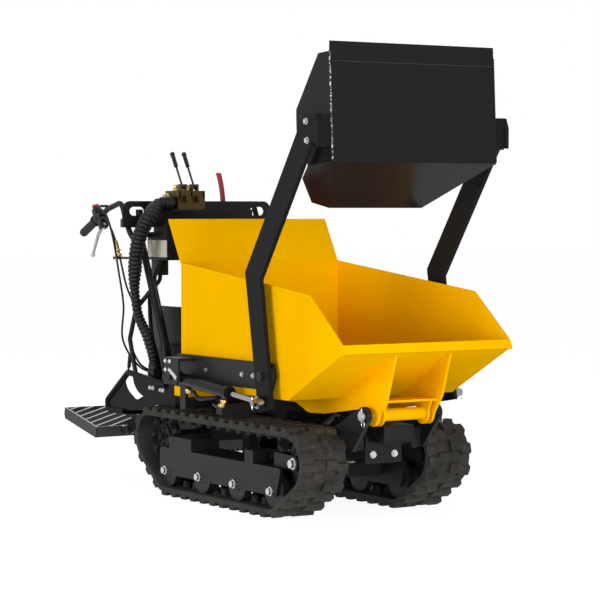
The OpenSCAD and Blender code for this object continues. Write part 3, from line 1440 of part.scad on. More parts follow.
// Riding platform: a frame with diagonal grating bars, drawn level and tilted about its hinge
grate_w = 8;
grate_step = 44;
module platform() {
  edge = 8;
  hinge_in = bracket_out + face_gap;
  front = -30;
  color(black) translate([platform_x, 0, platform_z]) rotate([0, platform_tilt, 0]) difference() {
    union() {
      difference() {
        block([-platform_len, -platform_half, -platform_h + 8], [front, platform_half, 8]);
        block([-platform_len + edge, -platform_half + edge, -platform_h],
          [front - edge, platform_half - edge, 9]);
      }
      intersection() {
        block([-platform_len + 1, -platform_half + 1, -6], [front - 1, platform_half - 1, 8]);
        for (k = [-14:14])
          translate([-platform_len / 2, k * grate_step, 0]) rotate([0, 0, 28])
            block([-platform_len, -grate_w / 2, -6], [platform_len, grate_w / 2, 8]);
      }
      for (s = [-1, 1])
        across(s * (hinge_in + 5) - 5, s * (hinge_in + 5) + 5) union() {
          circle(r = 18);
          polygon([[0, 8], [front - edge, 8], [front - edge, -platform_h + 8], [0, -18]]);
        }
      for (s = [-1, 1])
        bar_across(0, 0, platform_pin_r, s * (bracket_out - 1) - 10, s * (bracket_out - 1) + 10);
    }
    // Hollow ends of the hinge pins
    for (s = [-1, 1])
      bar_across(0, 0, platform_pin_r / 2, s * (hinge_in + 9) - 8, s * (hinge_in + 9) + 8);
  }
}

// Zinc fasteners that show on the frames
module frame_bolts() {
  plate_out = track_mid + frame_plate_off + frame_plate_t;
  color(zinc) {
    both_sides() mirror([0, 1, 0]) {
      for (n = [0:3]) side_bolt(roller_first_x + n * roller_pitch, -plate_out, roller_z, 13);
      side_bolt(idler_x, -track_mid - yoke_in - yoke_t, idler_z, 16);
      for (x = [lift_rear_x + 140, lift_rear_x + 400, loader_x - 90])
        side_bolt(x, -side_plate_out, side_plate_low_z + 46, arm_gap - 1);
    }
    for (y = [-45, 45]) front_bolt(nose_plate_x, y, 224, 10);
  }
}

track(1);  // track_left
track(-1);  // track_right
sprocket(1);  // sprocket_left
sprocket(-1);  // sprocket_right
idler(1);  // idler_left
idler(-1);  // idler_right
for (n = [1:4]) {
  roller(1, n - 1);
  roller(-1, n - 1);
}
track_frame(1);  // track_frame_left
track_frame(-1);  // track_frame_right
tension_yokes();
chassis_frame();
front_plate();
gearbox();
hopper_tub();
hopper_hinge_frame();
hopper_pin();
tip_barrel();
tip_rod();
loader_side_plates();
pivot_flanges();
arm(1);  // arm_left
arm(-1);  // arm_right
shovel();
cutting_edge();
shovel_bolts();
lift_barrel(1);  // lift_barrel_left
lift_barrel(-1);  // lift_barrel_right
lift_rod(1);  // lift_rod_left
lift_rod(-1);  // lift_rod_right
lift_hoses();
engine_block();
engine_shroud();
fuel_tank();
fuel_cap();
belt_guard();
console_panel();
console_column();
handlebars();
grips();
clutch_lever(1);  // clutch_lever_left
clutch_lever(-1);  // clutch_lever_right
throttle_lever();
stop_switch();
stop_button();
valve_block();
valve_lever(0);  // valve_lever_shovel
valve_lever(1);  // valve_lever_hopper
gear_lever();
ribbed_hose();
control_cables();
rear_guard();
platform();
frame_bolts();
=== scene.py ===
"""Looks for a tracked power carrier: finishes, hoses, bars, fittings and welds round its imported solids.

Lengths are in metres. Points written in millimetres are multiplied by MM.
"""

import json

import bpy
import numpy as np
from bpy.props import FloatProperty, FloatVectorProperty, IntProperty, PointerProperty
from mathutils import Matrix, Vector


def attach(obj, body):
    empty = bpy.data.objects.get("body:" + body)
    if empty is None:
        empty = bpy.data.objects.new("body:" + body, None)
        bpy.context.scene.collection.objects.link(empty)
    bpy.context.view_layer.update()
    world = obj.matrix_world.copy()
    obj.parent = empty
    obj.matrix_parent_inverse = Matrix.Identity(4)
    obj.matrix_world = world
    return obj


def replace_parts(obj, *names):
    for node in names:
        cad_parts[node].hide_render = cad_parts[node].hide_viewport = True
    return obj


bl_info = {
    "name": "Tracked Carrier Looks",
    "version": (1, 0, 0),
    "blender": (4, 5, 0),
    "location": "View3D > Sidebar > Carrier",
    "description": "Dresses the packed solids of a tracked power carrier",
    "category": "Object",
}

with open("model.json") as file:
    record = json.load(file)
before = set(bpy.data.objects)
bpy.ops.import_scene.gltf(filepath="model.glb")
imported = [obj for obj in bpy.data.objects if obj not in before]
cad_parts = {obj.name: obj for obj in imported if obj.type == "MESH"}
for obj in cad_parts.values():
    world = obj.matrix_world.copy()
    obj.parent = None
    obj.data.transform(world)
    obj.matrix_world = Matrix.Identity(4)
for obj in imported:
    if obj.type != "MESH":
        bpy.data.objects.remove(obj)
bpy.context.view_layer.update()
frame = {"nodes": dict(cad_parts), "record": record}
RECORD_SLOTS = {material["slot"] for material in frame["record"]["materials"]}
MM = 0.001
RIGHT, LEFT = -1, 1
SIDES = {"left": LEFT, "right": RIGHT}
AHEAD, ACROSS, UP = np.eye(3)


class FinishColours(bpy.types.PropertyGroup):
    """Colours of the finishes, as linear light."""

    yellow: FloatVectorProperty(
        name="Hopper yellow", description="Powder coat of the hopper",
        subtype="COLOR", default=(0.88, 0.455, 0.0),
    )
    black: FloatVectorProperty(
        name="Frame black", description="Powder coat of frames and plates",
        subtype="COLOR", default=(0.0095, 0.0095, 0.0098),
    )
    shovel: FloatVectorProperty(
        name="Shovel black", description="Paint of the shovel",
        subtype="COLOR", default=(0.012, 0.012, 0.013),
    )
    rubber: FloatVectorProperty(
        name="Track rubber", description="Rubber of the tracks",
        subtype="COLOR", default=(0.030, 0.028, 0.025),
    )
    zinc: FloatVectorProperty(
        name="Zinc", description="Plated fasteners",
        subtype="COLOR", default=(0.62, 0.62, 0.64),
    )
    brass: FloatVectorProperty(
        name="Brass", description="Hydraulic fittings",
        subtype="COLOR", default=(0.52, 0.36, 0.12),
    )
    red: FloatVectorProperty(
        name="Lever red", description="Gear lever and stop button",
        subtype="COLOR", default=(0.36, 0.028, 0.035),
    )


class HoseSizes(bpy.types.PropertyGroup):
    """Sizes of the ribbed hose and the cables."""

    neck_radius: FloatProperty(
        name="Hose neck radius", description="Outer radius at the valve block", unit="LENGTH", default=0.0245
    )
    top_radius: FloatProperty(
        name="Hose top radius", description="Outer radius of the upper stretch", unit="LENGTH", default=0.0312
    )
    shoulder_radius: FloatProperty(
        name="Hose shoulder radius", description="Outer radius above the waist", unit="LENGTH", default=0.028
    )
    waist_radius: FloatProperty(
        name="Hose waist radius", description="Outer radius of the slim stretch", unit="LENGTH", default=0.019
    )
    foot_radius: FloatProperty(
        name="Hose foot radius", description="Outer radius at the deck", unit="LENGTH", default=0.022
    )
    rib_depth: FloatProperty(
        name="Rib depth", description="Depth of the grooves between ribs", unit="LENGTH", default=0.0045
    )
    ribs: IntProperty(name="Ribs", description="Ribs along the hose", default=46)
    cable_radius: FloatProperty(
        name="Cable radius", description="Radius of a control cable", unit="LENGTH", default=0.004
    )


class StageLook(bpy.types.PropertyGroup):
    """Camera and light."""

    camera_place: FloatVectorProperty(
        name="Camera place", description="Where the camera stands",
        subtype="TRANSLATION", default=(7.3425, -4.4372, 1.0775),
    )
    azimuth: FloatProperty(
        name="Azimuth", description="Turn of the line of sight", subtype="ANGLE", default=np.radians(58.07)
    )
    pitch: FloatProperty(
        name="Pitch", description="Downward tilt of the sight", subtype="ANGLE", default=np.radians(2.277)
    )
    lens: FloatProperty(name="Lens", description="Focal length on a 36 mm frame", default=136.44)
    world_strength: FloatProperty(
        name="World light", description="Strength of the plain surround", default=0.4
    )


def settings():
    """The three groups of values that the operators read."""
    scene = bpy.context.scene
    return scene.carrier_colours, scene.carrier_hose, scene.carrier_stage


# Shader expressions


class Wire:
    """A number on a shader socket. Each operator adds the Math node that works it out."""

    def __init__(self, owner, socket):
        self.owner, self.socket = owner, socket

    def maths(self, operation, *operands):
        node = self.owner.node("ShaderNodeMath", {"operation": operation}, dict(enumerate(operands)))
        return Wire(self.owner, node.outputs[0])

    def __add__(self, other):
        return self.maths("ADD", self, other)

    __radd__ = __add__

    def __mul__(self, other):
        return self.maths("MULTIPLY", self, other)

    __rmul__ = __mul__

    def __sub__(self, other):
        return self.maths("SUBTRACT", self, other)

    def __rsub__(self, other):
        return self.maths("SUBTRACT", other, self)

    def larger(self, other):
        return self.maths("MAXIMUM", self, other)

    def sine(self):
        return self.maths("SINE", self)

    def between(self, low, high):
        """0 at or below low, 1 at or above high, smooth between."""
        choices = {"interpolation_type": "SMOOTHSTEP"}
        values = {0: self, "From Min": low, "From Max": high}
        return Wire(self.owner, self.owner.node("ShaderNodeMapRange", choices, values).outputs[0])


class ShaderTree:
    """The nodes of a material or of the world."""

    def __init__(self, tree):
        self.tree = tree

    def node(self, kind, choices=None, values=None):
        """Any node: its choices are set first, then the values or links of its sockets."""
        made = self.tree.nodes.new(kind)
        for key, choice in (choices or {}).items():
            setattr(made, key, choice)
        for key, value in (values or {}).items():
            self.feed(made.inputs[key], value)
        return made

    def feed(self, entry, value):
        """Links a wire or a socket to an entry, or sets the entry's own value."""
        if isinstance(value, Wire):
            value = value.socket
        if isinstance(value, bpy.types.NodeSocket):
            self.tree.links.new(value, entry)
        else:
            entry.default_value = value

    def seen_or_lit(self, seen, lit):
        """Shader that shows seen to camera, glossy and transmission rays, and lit to all others."""
        rays = self.node("ShaderNodeLightPath").outputs
        camera, glossy, through = (
            Wire(self, rays[f"Is {kind} Ray"]) for kind in ("Camera", "Glossy", "Transmission")
        )
        values = {0: camera.larger(glossy).larger(through), 1: lit.outputs[0], 2: seen.outputs[0]}
        return self.node("ShaderNodeMixShader", None, values).outputs[0]


class Finish(ShaderTree):
    """One material: a Principled shader and the nodes that vary it over the surface."""

    def __init__(self, name, **fixed):
        self.material = bpy.data.materials.new(name)
        self.material.use_nodes = True
        super().__init__(self.material.node_tree)
        self.shader = self.tree.nodes["Principled BSDF"]
        self.set(**fixed)
        coords = self.node("ShaderNodeTexCoord")
        self.place = coords.outputs["Object"]
        self.facing = coords.outputs["Normal"]

    def stretched(self, scale, turn=(0, 0, 0)):
        """Object place, scaled by its own factor along each axis."""
        values = {"Vector": self.place, "Scale": scale, "Rotation": turn}
        return self.node("ShaderNodeMapping", None, values).outputs[0]

    def axis(self, vector, letter):
        """One component of a vector."""
        node = self.node("ShaderNodeSeparateXYZ", None, {0: vector})
        return Wire(self, node.outputs[letter])

    def noise(self, scale, detail, rough=0.5, place=None):
        """Soft random value about a half."""
        values = {"Vector": place or self.place, "Scale": scale, "Detail": detail, "Roughness": rough}
        return Wire(self, self.node("ShaderNodeTexNoise", None, values).outputs[0])

    def cells(self, scale):
        """Distance to the nearest of scattered points."""
        values = {"Vector": self.place, "Scale": scale}
        return Wire(self, self.node("ShaderNodeTexVoronoi", None, values).outputs["Distance"])

    def blend(self, first, second, share):
        """Socket of the colour between first, a colour or a socket, and the colour second."""
        if not isinstance(first, bpy.types.NodeSocket):
            first = (*first, 1)
        values = {0: share, 6: first, 7: (*second, 1)}
        return self.node("ShaderNodeMix", {"data_type": "RGBA"}, values).outputs[2]

    def relief(self, height, depth, strength):
        """Normal from a height of 0 to 1 that stands for depth metres."""
        values = {"Height": height, "Distance": depth, "Strength": strength}
        return self.node("ShaderNodeBump", None, values).outputs[0]

    def set(self, **sockets):
        """Feeds the shader's sockets, named with underscores for spaces."""
        for socket, value in sockets.items():
            self.feed(self.shader.inputs[socket.replace("_", " ")], value)
        return self.material


# Colours of the smaller finishes, as linear light
DUST = (0.16, 0.145, 0.125)
TRACK_DUST = (0.13, 0.115, 0.09)
WELD_PAINT = (0.015, 0.015, 0.016)
# Painted highlight: light grey specks on the weld bead stand for the glints on its ripples
WELD_GLINT_GREY = (0.62, 0.62, 0.63)
# Painted highlight on the up-facing tops of the grating bars
GRATING_TOP_HIGHLIGHT = (0.10, 0.10, 0.102)
DULL_STEEL = (0.2, 0.2, 0.2)
CHROME = (0.30, 0.30, 0.31)
ALLOY = (0.40, 0.40, 0.41)
ZINC_STAIN = (0.62, 0.56, 0.42)
BRASS_STAIN = (0.34, 0.22, 0.08)
CHROMATE = (0.075, 0.052, 0.022)
CHROMATE_STAIN = (0.02, 0.016, 0.012)
GRIP_BLACK = (0.026, 0.026, 0.028)
GRATING_BLACK = (0.024, 0.024, 0.026)
SEAM_GREY = (0.032, 0.032, 0.034)
PLATE_CREAM = (0.62, 0.6, 0.5)


def tinted(colour, factor, warm=1.0):
    """Colour times factor, its red scaled by warm."""
    red, green, blue = colour
    return (red * factor * warm, green * factor, blue * factor)


def powder_coat(name, colour, rough, peel=0.00016, gloss=0.15, dust=0.0):
    """Sprayed coat: fine orange-peel relief, slow change of tone and gloss, and a little dust in patches."""
    finish = Finish(name, Specular_IOR_Level=gloss)
    tone = finish.noise(2.2, 4)
    patch = finish.noise(14, 5, 0.6)
    skin = finish.noise(420, 2)
    grime = patch.between(0.56, 0.8) * dust
    shade = finish.blend(tinted(colour, 1.03), tinted(colour, 0.9, 1.02), tone.between(0.35, 0.75))
    shade = finish.blend(shade, DUST, grime)
    matt = (patch - 0.5) * 0.12 + rough + grime * 0.4
    return finish.set(Base_Color=shade, Roughness=matt, Normal=finish.relief(skin, peel, 0.6))


def make_track_rubber(colour):
    """Moulded rubber: grey bloom, fine grain and small pits."""
    finish = Finish("track_rubber_moulded", Specular_IOR_Level=0.2)
    bloom = finish.noise(9, 6, 0.62)
    grain = finish.noise(300, 3, 0.6)
    pits = finish.cells(90).between(0.05, 0.24)
    shade = finish.blend(tinted(colour, 0.55), tinted(colour, 1.4), bloom.between(0.3, 0.72))
    shade = finish.blend(shade, TRACK_DUST, finish.noise(46, 4, 0.7).between(0.55, 0.8) * 0.5)
    normal = finish.relief(grain * 0.6 + pits * 0.4, 0.0007, 0.7)
    return finish.set(Base_Color=shade, Roughness=0.72 + (bloom - 0.5) * 0.25, Normal=normal)


def make_weld_with_painted_glints():
    """Weld bead in dark paint, with light grey specks of painted highlight for the glints on its ripples."""
    finish = Finish("weld_bead", Specular_IOR_Level=0.3)
    # Painted highlight in specks of light grey
    glint_specks = finish.noise(130, 3, 0.6).between(0.5, 0.6)
    return finish.set(Base_Color=finish.blend(WELD_PAINT, WELD_GLINT_GREY, glint_specks), Roughness=0.5 - glint_specks * 0.2)


def make_casting(colour):
    """Painted casting: sand grain under a thin coat."""
    finish = Finish("cast_black", Specular_IOR_Level=0.25)
    sand = finish.noise(190, 4, 0.6)
    tone = finish.noise(11, 4)
    shade = finish.blend(tinted(colour, 0.8), tinted(colour, 1.35), tone.between(0.3, 0.7))
    normal = finish.relief(sand, 0.0006, 0.7)
    return finish.set(Base_Color=shade, Roughness=0.5 + (tone - 0.5) * 0.2, Normal=normal)


def make_plated(name, colour, stain_colour, rough, grain=260.0):
    """Plated or polished metal: fine tool marks, faint stains and uneven gloss."""
    finish = Finish(name, Metallic=1.0)
    marks = finish.noise(grain, 3, 0.6, finish.stretched((1.0, 0.12, 1.0)))
    stain = finish.noise(38, 4, 0.6)
    shade = finish.blend(colour, stain_colour, stain.between(0.55, 0.85) * 0.5)
    normal = finish.relief(marks, 0.00008, 0.5)
    return finish.set(Base_Color=shade, Roughness=rough + stain.between(0.4, 0.8) * 0.16, Normal=normal)


def make_moulded(name, colour, rough, grain=600.0, depth=0.00022, coat=0.0):
    """Moulded plastic or rubber: fine etched grain and handling shine."""
    finish = Finish(name, Coat_Weight=coat, Specular_IOR_Level=0.22)
    etch = finish.noise(grain, 2, 0.6)
    wear = finish.noise(22, 4)
    shade = finish.blend(tinted(colour, 0.85), tinted(colour, 1.3), wear.between(0.35, 0.7))
    normal = finish.relief(etch, depth, 0.6)
    return finish.set(Base_Color=shade, Roughness=rough + (wear - 0.5) * 0.18, Normal=normal)


def make_grip_rubber():
    """Grip rubber with a diamond knurl: the product of two slanting waves."""
    finish = Finish("grip_rubber_knurled", Specular_IOR_Level=0.3)
    along = finish.axis(finish.place, "X") * 900.0
    around = finish.axis(finish.place, "Z") * 900.0
    knurl = ((along + around).sine() * (along - around).sine()).between(-0.4, 0.6)
    wear = finish.noise(30, 4)
    shade = finish.blend(tinted(GRIP_BLACK, 0.8), tinted(GRIP_BLACK, 1.5), wear.between(0.3, 0.75))
    normal = finish.relief(knurl, 0.0008, 0.6)
    return finish.set(Base_Color=shade, Roughness=0.72 + wear * 0.15, Normal=normal)


def make_grating():
    """Grating steel: dark paint, with a painted highlight on the up-facing tops of the bars, in patches."""
    finish = Finish("platform_grating", Metallic=0.25)
    up = finish.axis(finish.facing, "Z").between(0.75, 0.96)
    top_highlight_patches = finish.noise(60, 4, 0.6).between(0.25, 0.7)
    # Painted highlight: tops that face up are lighter, in noisy patches
    shade = finish.blend(GRATING_BLACK, GRATING_TOP_HIGHLIGHT, up * (0.3 + top_highlight_patches * 0.7))
    scratch = finish.noise(240, 3, 0.6, finish.stretched((1.0, 0.2, 1.0), (0, 0, 0.5)))
    normal = finish.relief(scratch, 0.0002, 0.6)
    return finish.set(Base_Color=shade, Roughness=0.52 - up * 0.12, Normal=normal)


FINISHES = {}
OWN_FINISH = {"valve_block": "chromate", "arm_left": "loader_black", "arm_right": "loader_black"}


def make_finishes():
    """Every finish, by the record's slot or by its own name."""
    colours, _, _ = settings()
    black, red = tuple(colours.black), tuple(colours.red)
    FINISHES.update(
        yellow_paint=powder_coat("hopper_yellow_coat", tuple(colours.yellow), 0.42, gloss=0.0),
        black_paint=powder_coat("frame_black_coat", black, 0.40, gloss=0.16, dust=0.03),
        shovel_paint=powder_coat(
            "shovel_black_coat", tuple(colours.shovel), 0.16, peel=0.00003, gloss=0.07, dust=0.01
        ),
        loader_black=powder_coat("loader_black_coat", black, 0.42, peel=0.00012, gloss=0.045, dust=0.02),
        cylinder_paint=powder_coat("cylinder_gloss", tinted(black, 0.5), 0.22, peel=0.00003, gloss=0.1),
        track_rubber=make_track_rubber(tuple(colours.rubber)),
        cast_black=make_casting(tinted(black, 1.4)),
        zinc_steel=make_plated("zinc_plate", tuple(colours.zinc), ZINC_STAIN, 0.26),
        chrome_rod=make_plated("chrome_rod", CHROME, DULL_STEEL, 0.07, grain=420.0),
        lever_alloy=make_plated("lever_alloy", ALLOY, DULL_STEEL, 0.22),
        hose_rubber=make_moulded("hose_rubber", tinted(black, 0.9), 0.42, grain=380.0),
        hose_plastic=make_moulded("ribbed_conduit", tinted(black, 0.85), 0.34, grain=300.0, depth=0.0001),
        grip_rubber=make_grip_rubber(),
        black_plastic=make_moulded("grained_plastic", black, 0.46),
        red_paint=powder_coat("lever_red_coat", red, 0.35),
        red_plastic=make_moulded(
            "button_red", tinted(red, 1.35), 0.24, grain=500.0, depth=0.00006, coat=0.3
        ),
        platform_steel=make_grating(),
        brass=make_plated("brass_fitting", tuple(colours.brass), BRASS_STAIN, 0.24),
        chromate=make_plated("chromate_block", CHROMATE, CHROMATE_STAIN, 0.36, grain=120.0),
        # Weld bead with painted highlight specks
        weld_bead=make_weld_with_painted_glints(),
        seam=powder_coat("shovel_seam_coat", SEAM_GREY, 0.5, dust=0.2),
        guard_black=powder_coat("guard_black_coat", tinted(black, 0.45), 0.36, gloss=0.05),
        label_plate=powder_coat("bare_label_plate", PLATE_CREAM, 0.5),
    )


# Surfaces


def lay_mesh(name, parts, slot, body, angle=40.0):
    """One mesh object from (vertices, faces) parts, in place in the row frame, with its finish and its body.

    The faces of a part are arrays, one for each number of corners. Edges over angle degrees stay sharp.
    """
    first = np.cumsum([0] + [len(vertices) for vertices, _ in parts])
    blocks = [np.asarray(block) + base for (_, faces), base in zip(parts, first) for block in faces]
    sizes = np.concatenate([np.full(len(block), block.shape[1]) for block in blocks])
    corners = np.concatenate([block.ravel() for block in blocks])
    places = np.concatenate([vertices for vertices, _ in parts])
    mesh = bpy.data.meshes.new(name)
    mesh.vertices.add(first[-1])
    mesh.vertices.foreach_set("co", places.astype(np.float32).ravel())
    mesh.loops.add(len(corners))
    mesh.loops.foreach_set("vertex_index", corners.astype(np.int32))
    mesh.polygons.add(len(sizes))
    mesh.polygons.foreach_set("loop_start", (np.cumsum(sizes) - sizes).astype(np.int32))
    mesh.update(calc_edges=True)
    if mesh.validate():
        raise RuntimeError(f"{name} has faulty faces")
    mesh.shade_smooth()
    mesh.set_sharp_from_angle(angle=np.radians(angle))
    piece = bpy.data.objects.new(name, mesh)
    bpy.context.scene.collection.objects.link(piece)
    mesh.materials.append(FINISHES[slot])
    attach(piece, body)
    slot in RECORD_SLOTS
    return piece


def capped(grid):
    """Grid of closed rings as quads, with one polygon over each end: (vertices, faces)."""
    rows, columns, _ = grid.shape
    r, c = np.meshgrid(np.arange(rows - 1), np.arange(columns), indexing="ij")
    n = (c + 1) % columns
    quads = np.stack([r * columns + c, r * columns + n, (r + 1) * columns + n, (r + 1) * columns + c], -1)
    ring = np.arange(columns)
    return grid.reshape(-1, 3), [quads.reshape(-1, 4), np.stack([ring[::-1], ring + (rows - 1) * columns])]


def route_length(path):
    """Sum of the straight steps along a path."""
    return np.linalg.norm(np.diff(path, axis=0), axis=1).sum()


def respaced(path, step):
    """Points at even steps along a polyline."""
    length = np.concatenate([[0], np.cumsum(np.linalg.norm(np.diff(path, axis=0), axis=1))])
    even = np.linspace(0, length[-1], max(4, int(round(length[-1] / step)) + 1))
    return np.stack([np.interp(even, length, path[:, k]) for k in range(3)], -1)


def smooth_route(points, step):
    """Cubic through the points, evenly respaced.

    From a to b, with z before and c after: p(t) = 0.5(2a + (b-z)t + (2z-5a+4b-c)t^2 + (3a-z-3b+c)t^3).
    """
    per_span = 24
    p = np.asarray(points, float)
    q = np.vstack([p[:1], p, p[-1:]])
    t = np.linspace(0, 1, per_span, endpoint=False)[None, :, None]
    z, a, b, c = (q[k : len(q) - 3 + k][:, None, :] for k in range(4))
    curve = 0.5 * (2 * a + (b - z) * t + (2 * z - 5 * a + 4 * b - c) * t**2 + (3 * a - z - 3 * b + c) * t**3)
    return respaced(np.vstack([curve.reshape(-1, 3), p[-1:]]), step)


def bent_route(points, bend, steps=10):
    """Straight runs joined by arcs of radius bend: each corner becomes c + bend(e cos t + u sin t)."""
    p = np.asarray(points, float)
    path = [p[0]]
    for before, corner, after in zip(p[:-2], p[1:-1], p[2:]):
        u, v = corner - before, after - corner
        u, v = u / np.linalg.norm(u), v / np.linalg.norm(v)
        turn = np.arccos(np.clip(u @ v, -1, 1))
        w = np.cross(u, v) / np.linalg.norm(np.cross(u, v))
        e = np.cross(u, w)
        centre = corner - u * bend * np.tan(turn / 2) - e * bend
        t = np.linspace(0, turn, steps)[:, None]
        path.extend(centre + bend * (e * np.cos(t) + u * np.sin(t)))
    return np.array(path + [p[-1]])


def carried(path, radii, sides=20, start=ACROSS, dome=0.0):
    """Circle carried along a path with no twist: p(s, a) = c(s) + r(s)(n cos a + b sin a).

    The first n is start, made square to the path. dome is how far both ends bulge.
    """
    path = np.asarray(path, float)
    radii = np.broadcast_to(np.asarray(radii, float), (len(path),)).copy()
    tangent = np.gradient(path, axis=0)
    tangent /= np.linalg.norm(tangent, axis=1)[:, None]
    if dome:
        rows, tip = 5, 0.08
        a = np.linspace(tip, np.pi / 2, rows + 1)[:-1]
        head = path[0] - tangent[0] * (dome * np.cos(a))[:, None]
        tail = path[-1] + tangent[-1] * (dome * np.cos(a[::-1]))[:, None]
        radii = np.concatenate([radii[0] * np.sin(a), radii, radii[-1] * np.sin(a[::-1])])
        tangent = np.vstack([np.tile(tangent[0], (rows, 1)), tangent, np.tile(tangent[-1], (rows, 1))])
        path = np.vstack([head, path, tail])
    normals, side = [], np.asarray(start, float)
    for t in tangent:
        side = side - t * (side @ t)
        side = side / np.linalg.norm(side)
        normals.append(side)
    n = np.array(normals)
    b = np.cross(tangent, n)
    a = np.linspace(0, 2 * np.pi, sides, endpoint=False)[None, :, None]
    return capped(path[:, None] + radii[:, None, None] * (n[:, None] * np.cos(a) + b[:, None] * np.sin(a)))


def ring_about(axis, sides):
    """Unit axis, the angles a of a ring about it, and the ring's directions n cos a + b sin a."""
    axis = np.asarray(axis, float) / np.linalg.norm(axis)
    n = np.cross(axis, UP if abs(axis[2]) < 0.9 else AHEAD)
    n /= np.linalg.norm(n)
    b = np.cross(axis, n)
    a = np.linspace(0, 2 * np.pi, sides, endpoint=False)
    return axis, a, n * np.cos(a)[:, None] + b * np.sin(a)[:, None]


def turned(origin, axis, profile, sides=32, corners=0):
    """Profile of (radius, height) turned about an axis: p(h, a) = o + h axis + r(n cos a + b sin a).

    With corners, r is the half width across flats over the cosine of the angle to the flat's middle.
    """
    axis, a, ring = ring_about(axis, sides)
    radius, height = np.asarray(profile, float).T
    wide = np.repeat(radius[:, None], sides, axis=1)
    if corners:
        part, corner_reach = 2 * np.pi / corners, 1.1
        wide = wide / np.cos((a + part / 2) % part - part / 2)
        wide = np.minimum(wide, radius.max() * corner_reach)
    return capped(np.asarray(origin, float) + height[:, None, None] * axis + wide[:, :, None] * ring[None])


def hex_nut(origin, axis, profile):
    """Profile of (half width across flats, height) turned with six corners."""
    return turned(origin, axis, profile, 36, 6)


def hex_head(origin, axis, flat_half, height):
    """Chamfered hexagon head on a washer, drawn in shares of the half width across flats and the height."""
    washer = np.array([(1.3, 0), (1.45, 0.05), (1.45, 0.2), (1.3, 0.25)])
    head = np.array([(0.98, 0.22), (1, 0.3), (1, 0.85), (0.9, 1), (0.5, 1), (0.44, 0.95)])
    size = (flat_half, height)
    return [turned(origin, axis, washer * size), hex_nut(origin, axis, head * size)]


def rounded_block(low, high, radius, axes=None, origin=(0, 0, 0), steps=4):
    """Box with round edges: corner circles of radius r cos v about an inset rectangle, lifted by r sin v.

    With axes, low and high are measured along them from origin.
    """
    round_end = 1.38  # short of a quarter turn, so that the caps keep a rim
    largest_round = 0.98
    low, high = np.asarray(low, float), np.asarray(high, float)
    middle, half = (low + high) / 2, (high - low) / 2
    radius = min(radius, half.min() * largest_round)
    a = (np.arange(4)[:, None] * np.pi / 2 + np.linspace(0, np.pi / 2, steps)).ravel()
    corner = np.repeat(np.array([[1, 1], [-1, 1], [-1, -1], [1, -1]], float), steps, axis=0)
    v = np.concatenate([np.linspace(-round_end, 0, steps), np.linspace(0, round_end, steps)])
    level = np.repeat([-1.0, 1.0], steps) * (half[2] - radius) + radius * np.sin(v)
    flat = (half[:2] - radius) * corner
    ring = flat[None] + (radius * np.cos(v))[:, None, None] * np.stack([np.cos(a), np.sin(a)], -1)[None]
    grid = np.concatenate([ring, np.broadcast_to(level[:, None, None], ring.shape[:2] + (1,))], -1) + middle
    if axes is not None:
        grid = grid @ axes
    return capped(grid + np.asarray(origin, float))


def side_plate(outline, y0, y1):
    """Side-view outline of (forward, up) points, anticlockwise, carried across from y0 to a higher y1."""
    p = np.asarray(outline, float)
    n = len(p)
    near, far = (np.insert(p, 1, y, axis=1) for y in (y0, y1))
    k = np.arange(n)
    j = (k + 1) % n
    walls = np.stack([k, k + n, j + n, j], -1)
    return np.vstack([near, far]), [walls, np.stack([k, k[::-1] + n])]


def mirrored(parts, side):
    """Parts drawn on the left, or their mirror image with the faces turned round."""
    if side == LEFT:
        return parts
    return [(vertices * (1, -1, 1), [block[:, ::-1] for block in faces]) for vertices, faces in parts]


def both_sides(parts):
    """Parts drawn on the left, and their mirror image."""
    return parts + mirrored(parts, RIGHT)


def pitched(angle):
    """Forward, across and up axes, turned nose down by angle."""
    c, s = np.cos(angle), np.sin(angle)
    return np.array([(c, 0, -s), (0, 1, 0), (s, 0, c)])


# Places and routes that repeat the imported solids, drawn on the left where both sides have them
BAR_ROUTE = np.array([(-582, 300, 1028), (-622, 300, 1107), (-742, 300, 1079), (-956, 300, 984)]) * MM
BAR_TURN, BAR_END = BAR_ROUTE[2:]
BAR_AHEAD = (BAR_TURN - BAR_END) / np.linalg.norm(BAR_TURN - BAR_END)
BAR_UP = np.array([-BAR_AHEAD[2], 0, BAR_AHEAD[0]])
BAR_AXES = np.array([BAR_AHEAD, ACROSS, BAR_UP])
CLUTCH_CLAMP = BAR_END + BAR_AHEAD * 0.172
THROTTLE_CLAMP = BAR_END + BAR_AHEAD * 0.204
COLUMN_ROUTE = np.array([(-346, 250, 406), (-366, 250, 560), (-569, 250, 992), (-569, 250, 1078)]) * MM
GUARD_ROUTE = np.array([
    (-260, 300, 412), (-570, 300, 440), (-758, 300, 312), (-728, 300, 282), (-600, 300, 284),
]) * MM
PLATFORM_HINGE = np.array([-742, 0, 196]) * MM
PLATFORM_AXES = pitched(np.radians(11.6))
HOSE_ROUTE = np.array([
    (-472, -156.4, 1105), (-472, -172, 1105), (-472, -190, 1105), (-476, -214, 1097), (-460, -258, 1058),
    (-472, -290, 996), (-484, -307, 925), (-491, -311, 850), (-494, -311, 770), (-474, -306, 670),
    (-424, -294, 590), (-412, -279, 532), (-415, -268, 496), (-415, -268, 478), (-415, -268, 460.4),
]) * MM
CLUTCH_RUN = np.array([
    (-738, 310, 1038), (-690, 306, 990), (-648, 298, 900), (-632, 276, 780), (-618, 246, 680),
    (-640, 256, 570), (-624, 222, 470), (-606, 160, 432), (-598, 126, 422), (-598, 126, 410),
    (-598, 126, 400.4),
]) * MM
THROTTLE_RUN = np.array([
    (-700, -326, 1052), (-664, -316, 960), (-648, -302, 840), (-640, -284, 700), (-652, -280, 560),
    (-640, -206, 450), (-610, -112, 424), (-610, -108, 410), (-610, -108, 400.4),
]) * MM
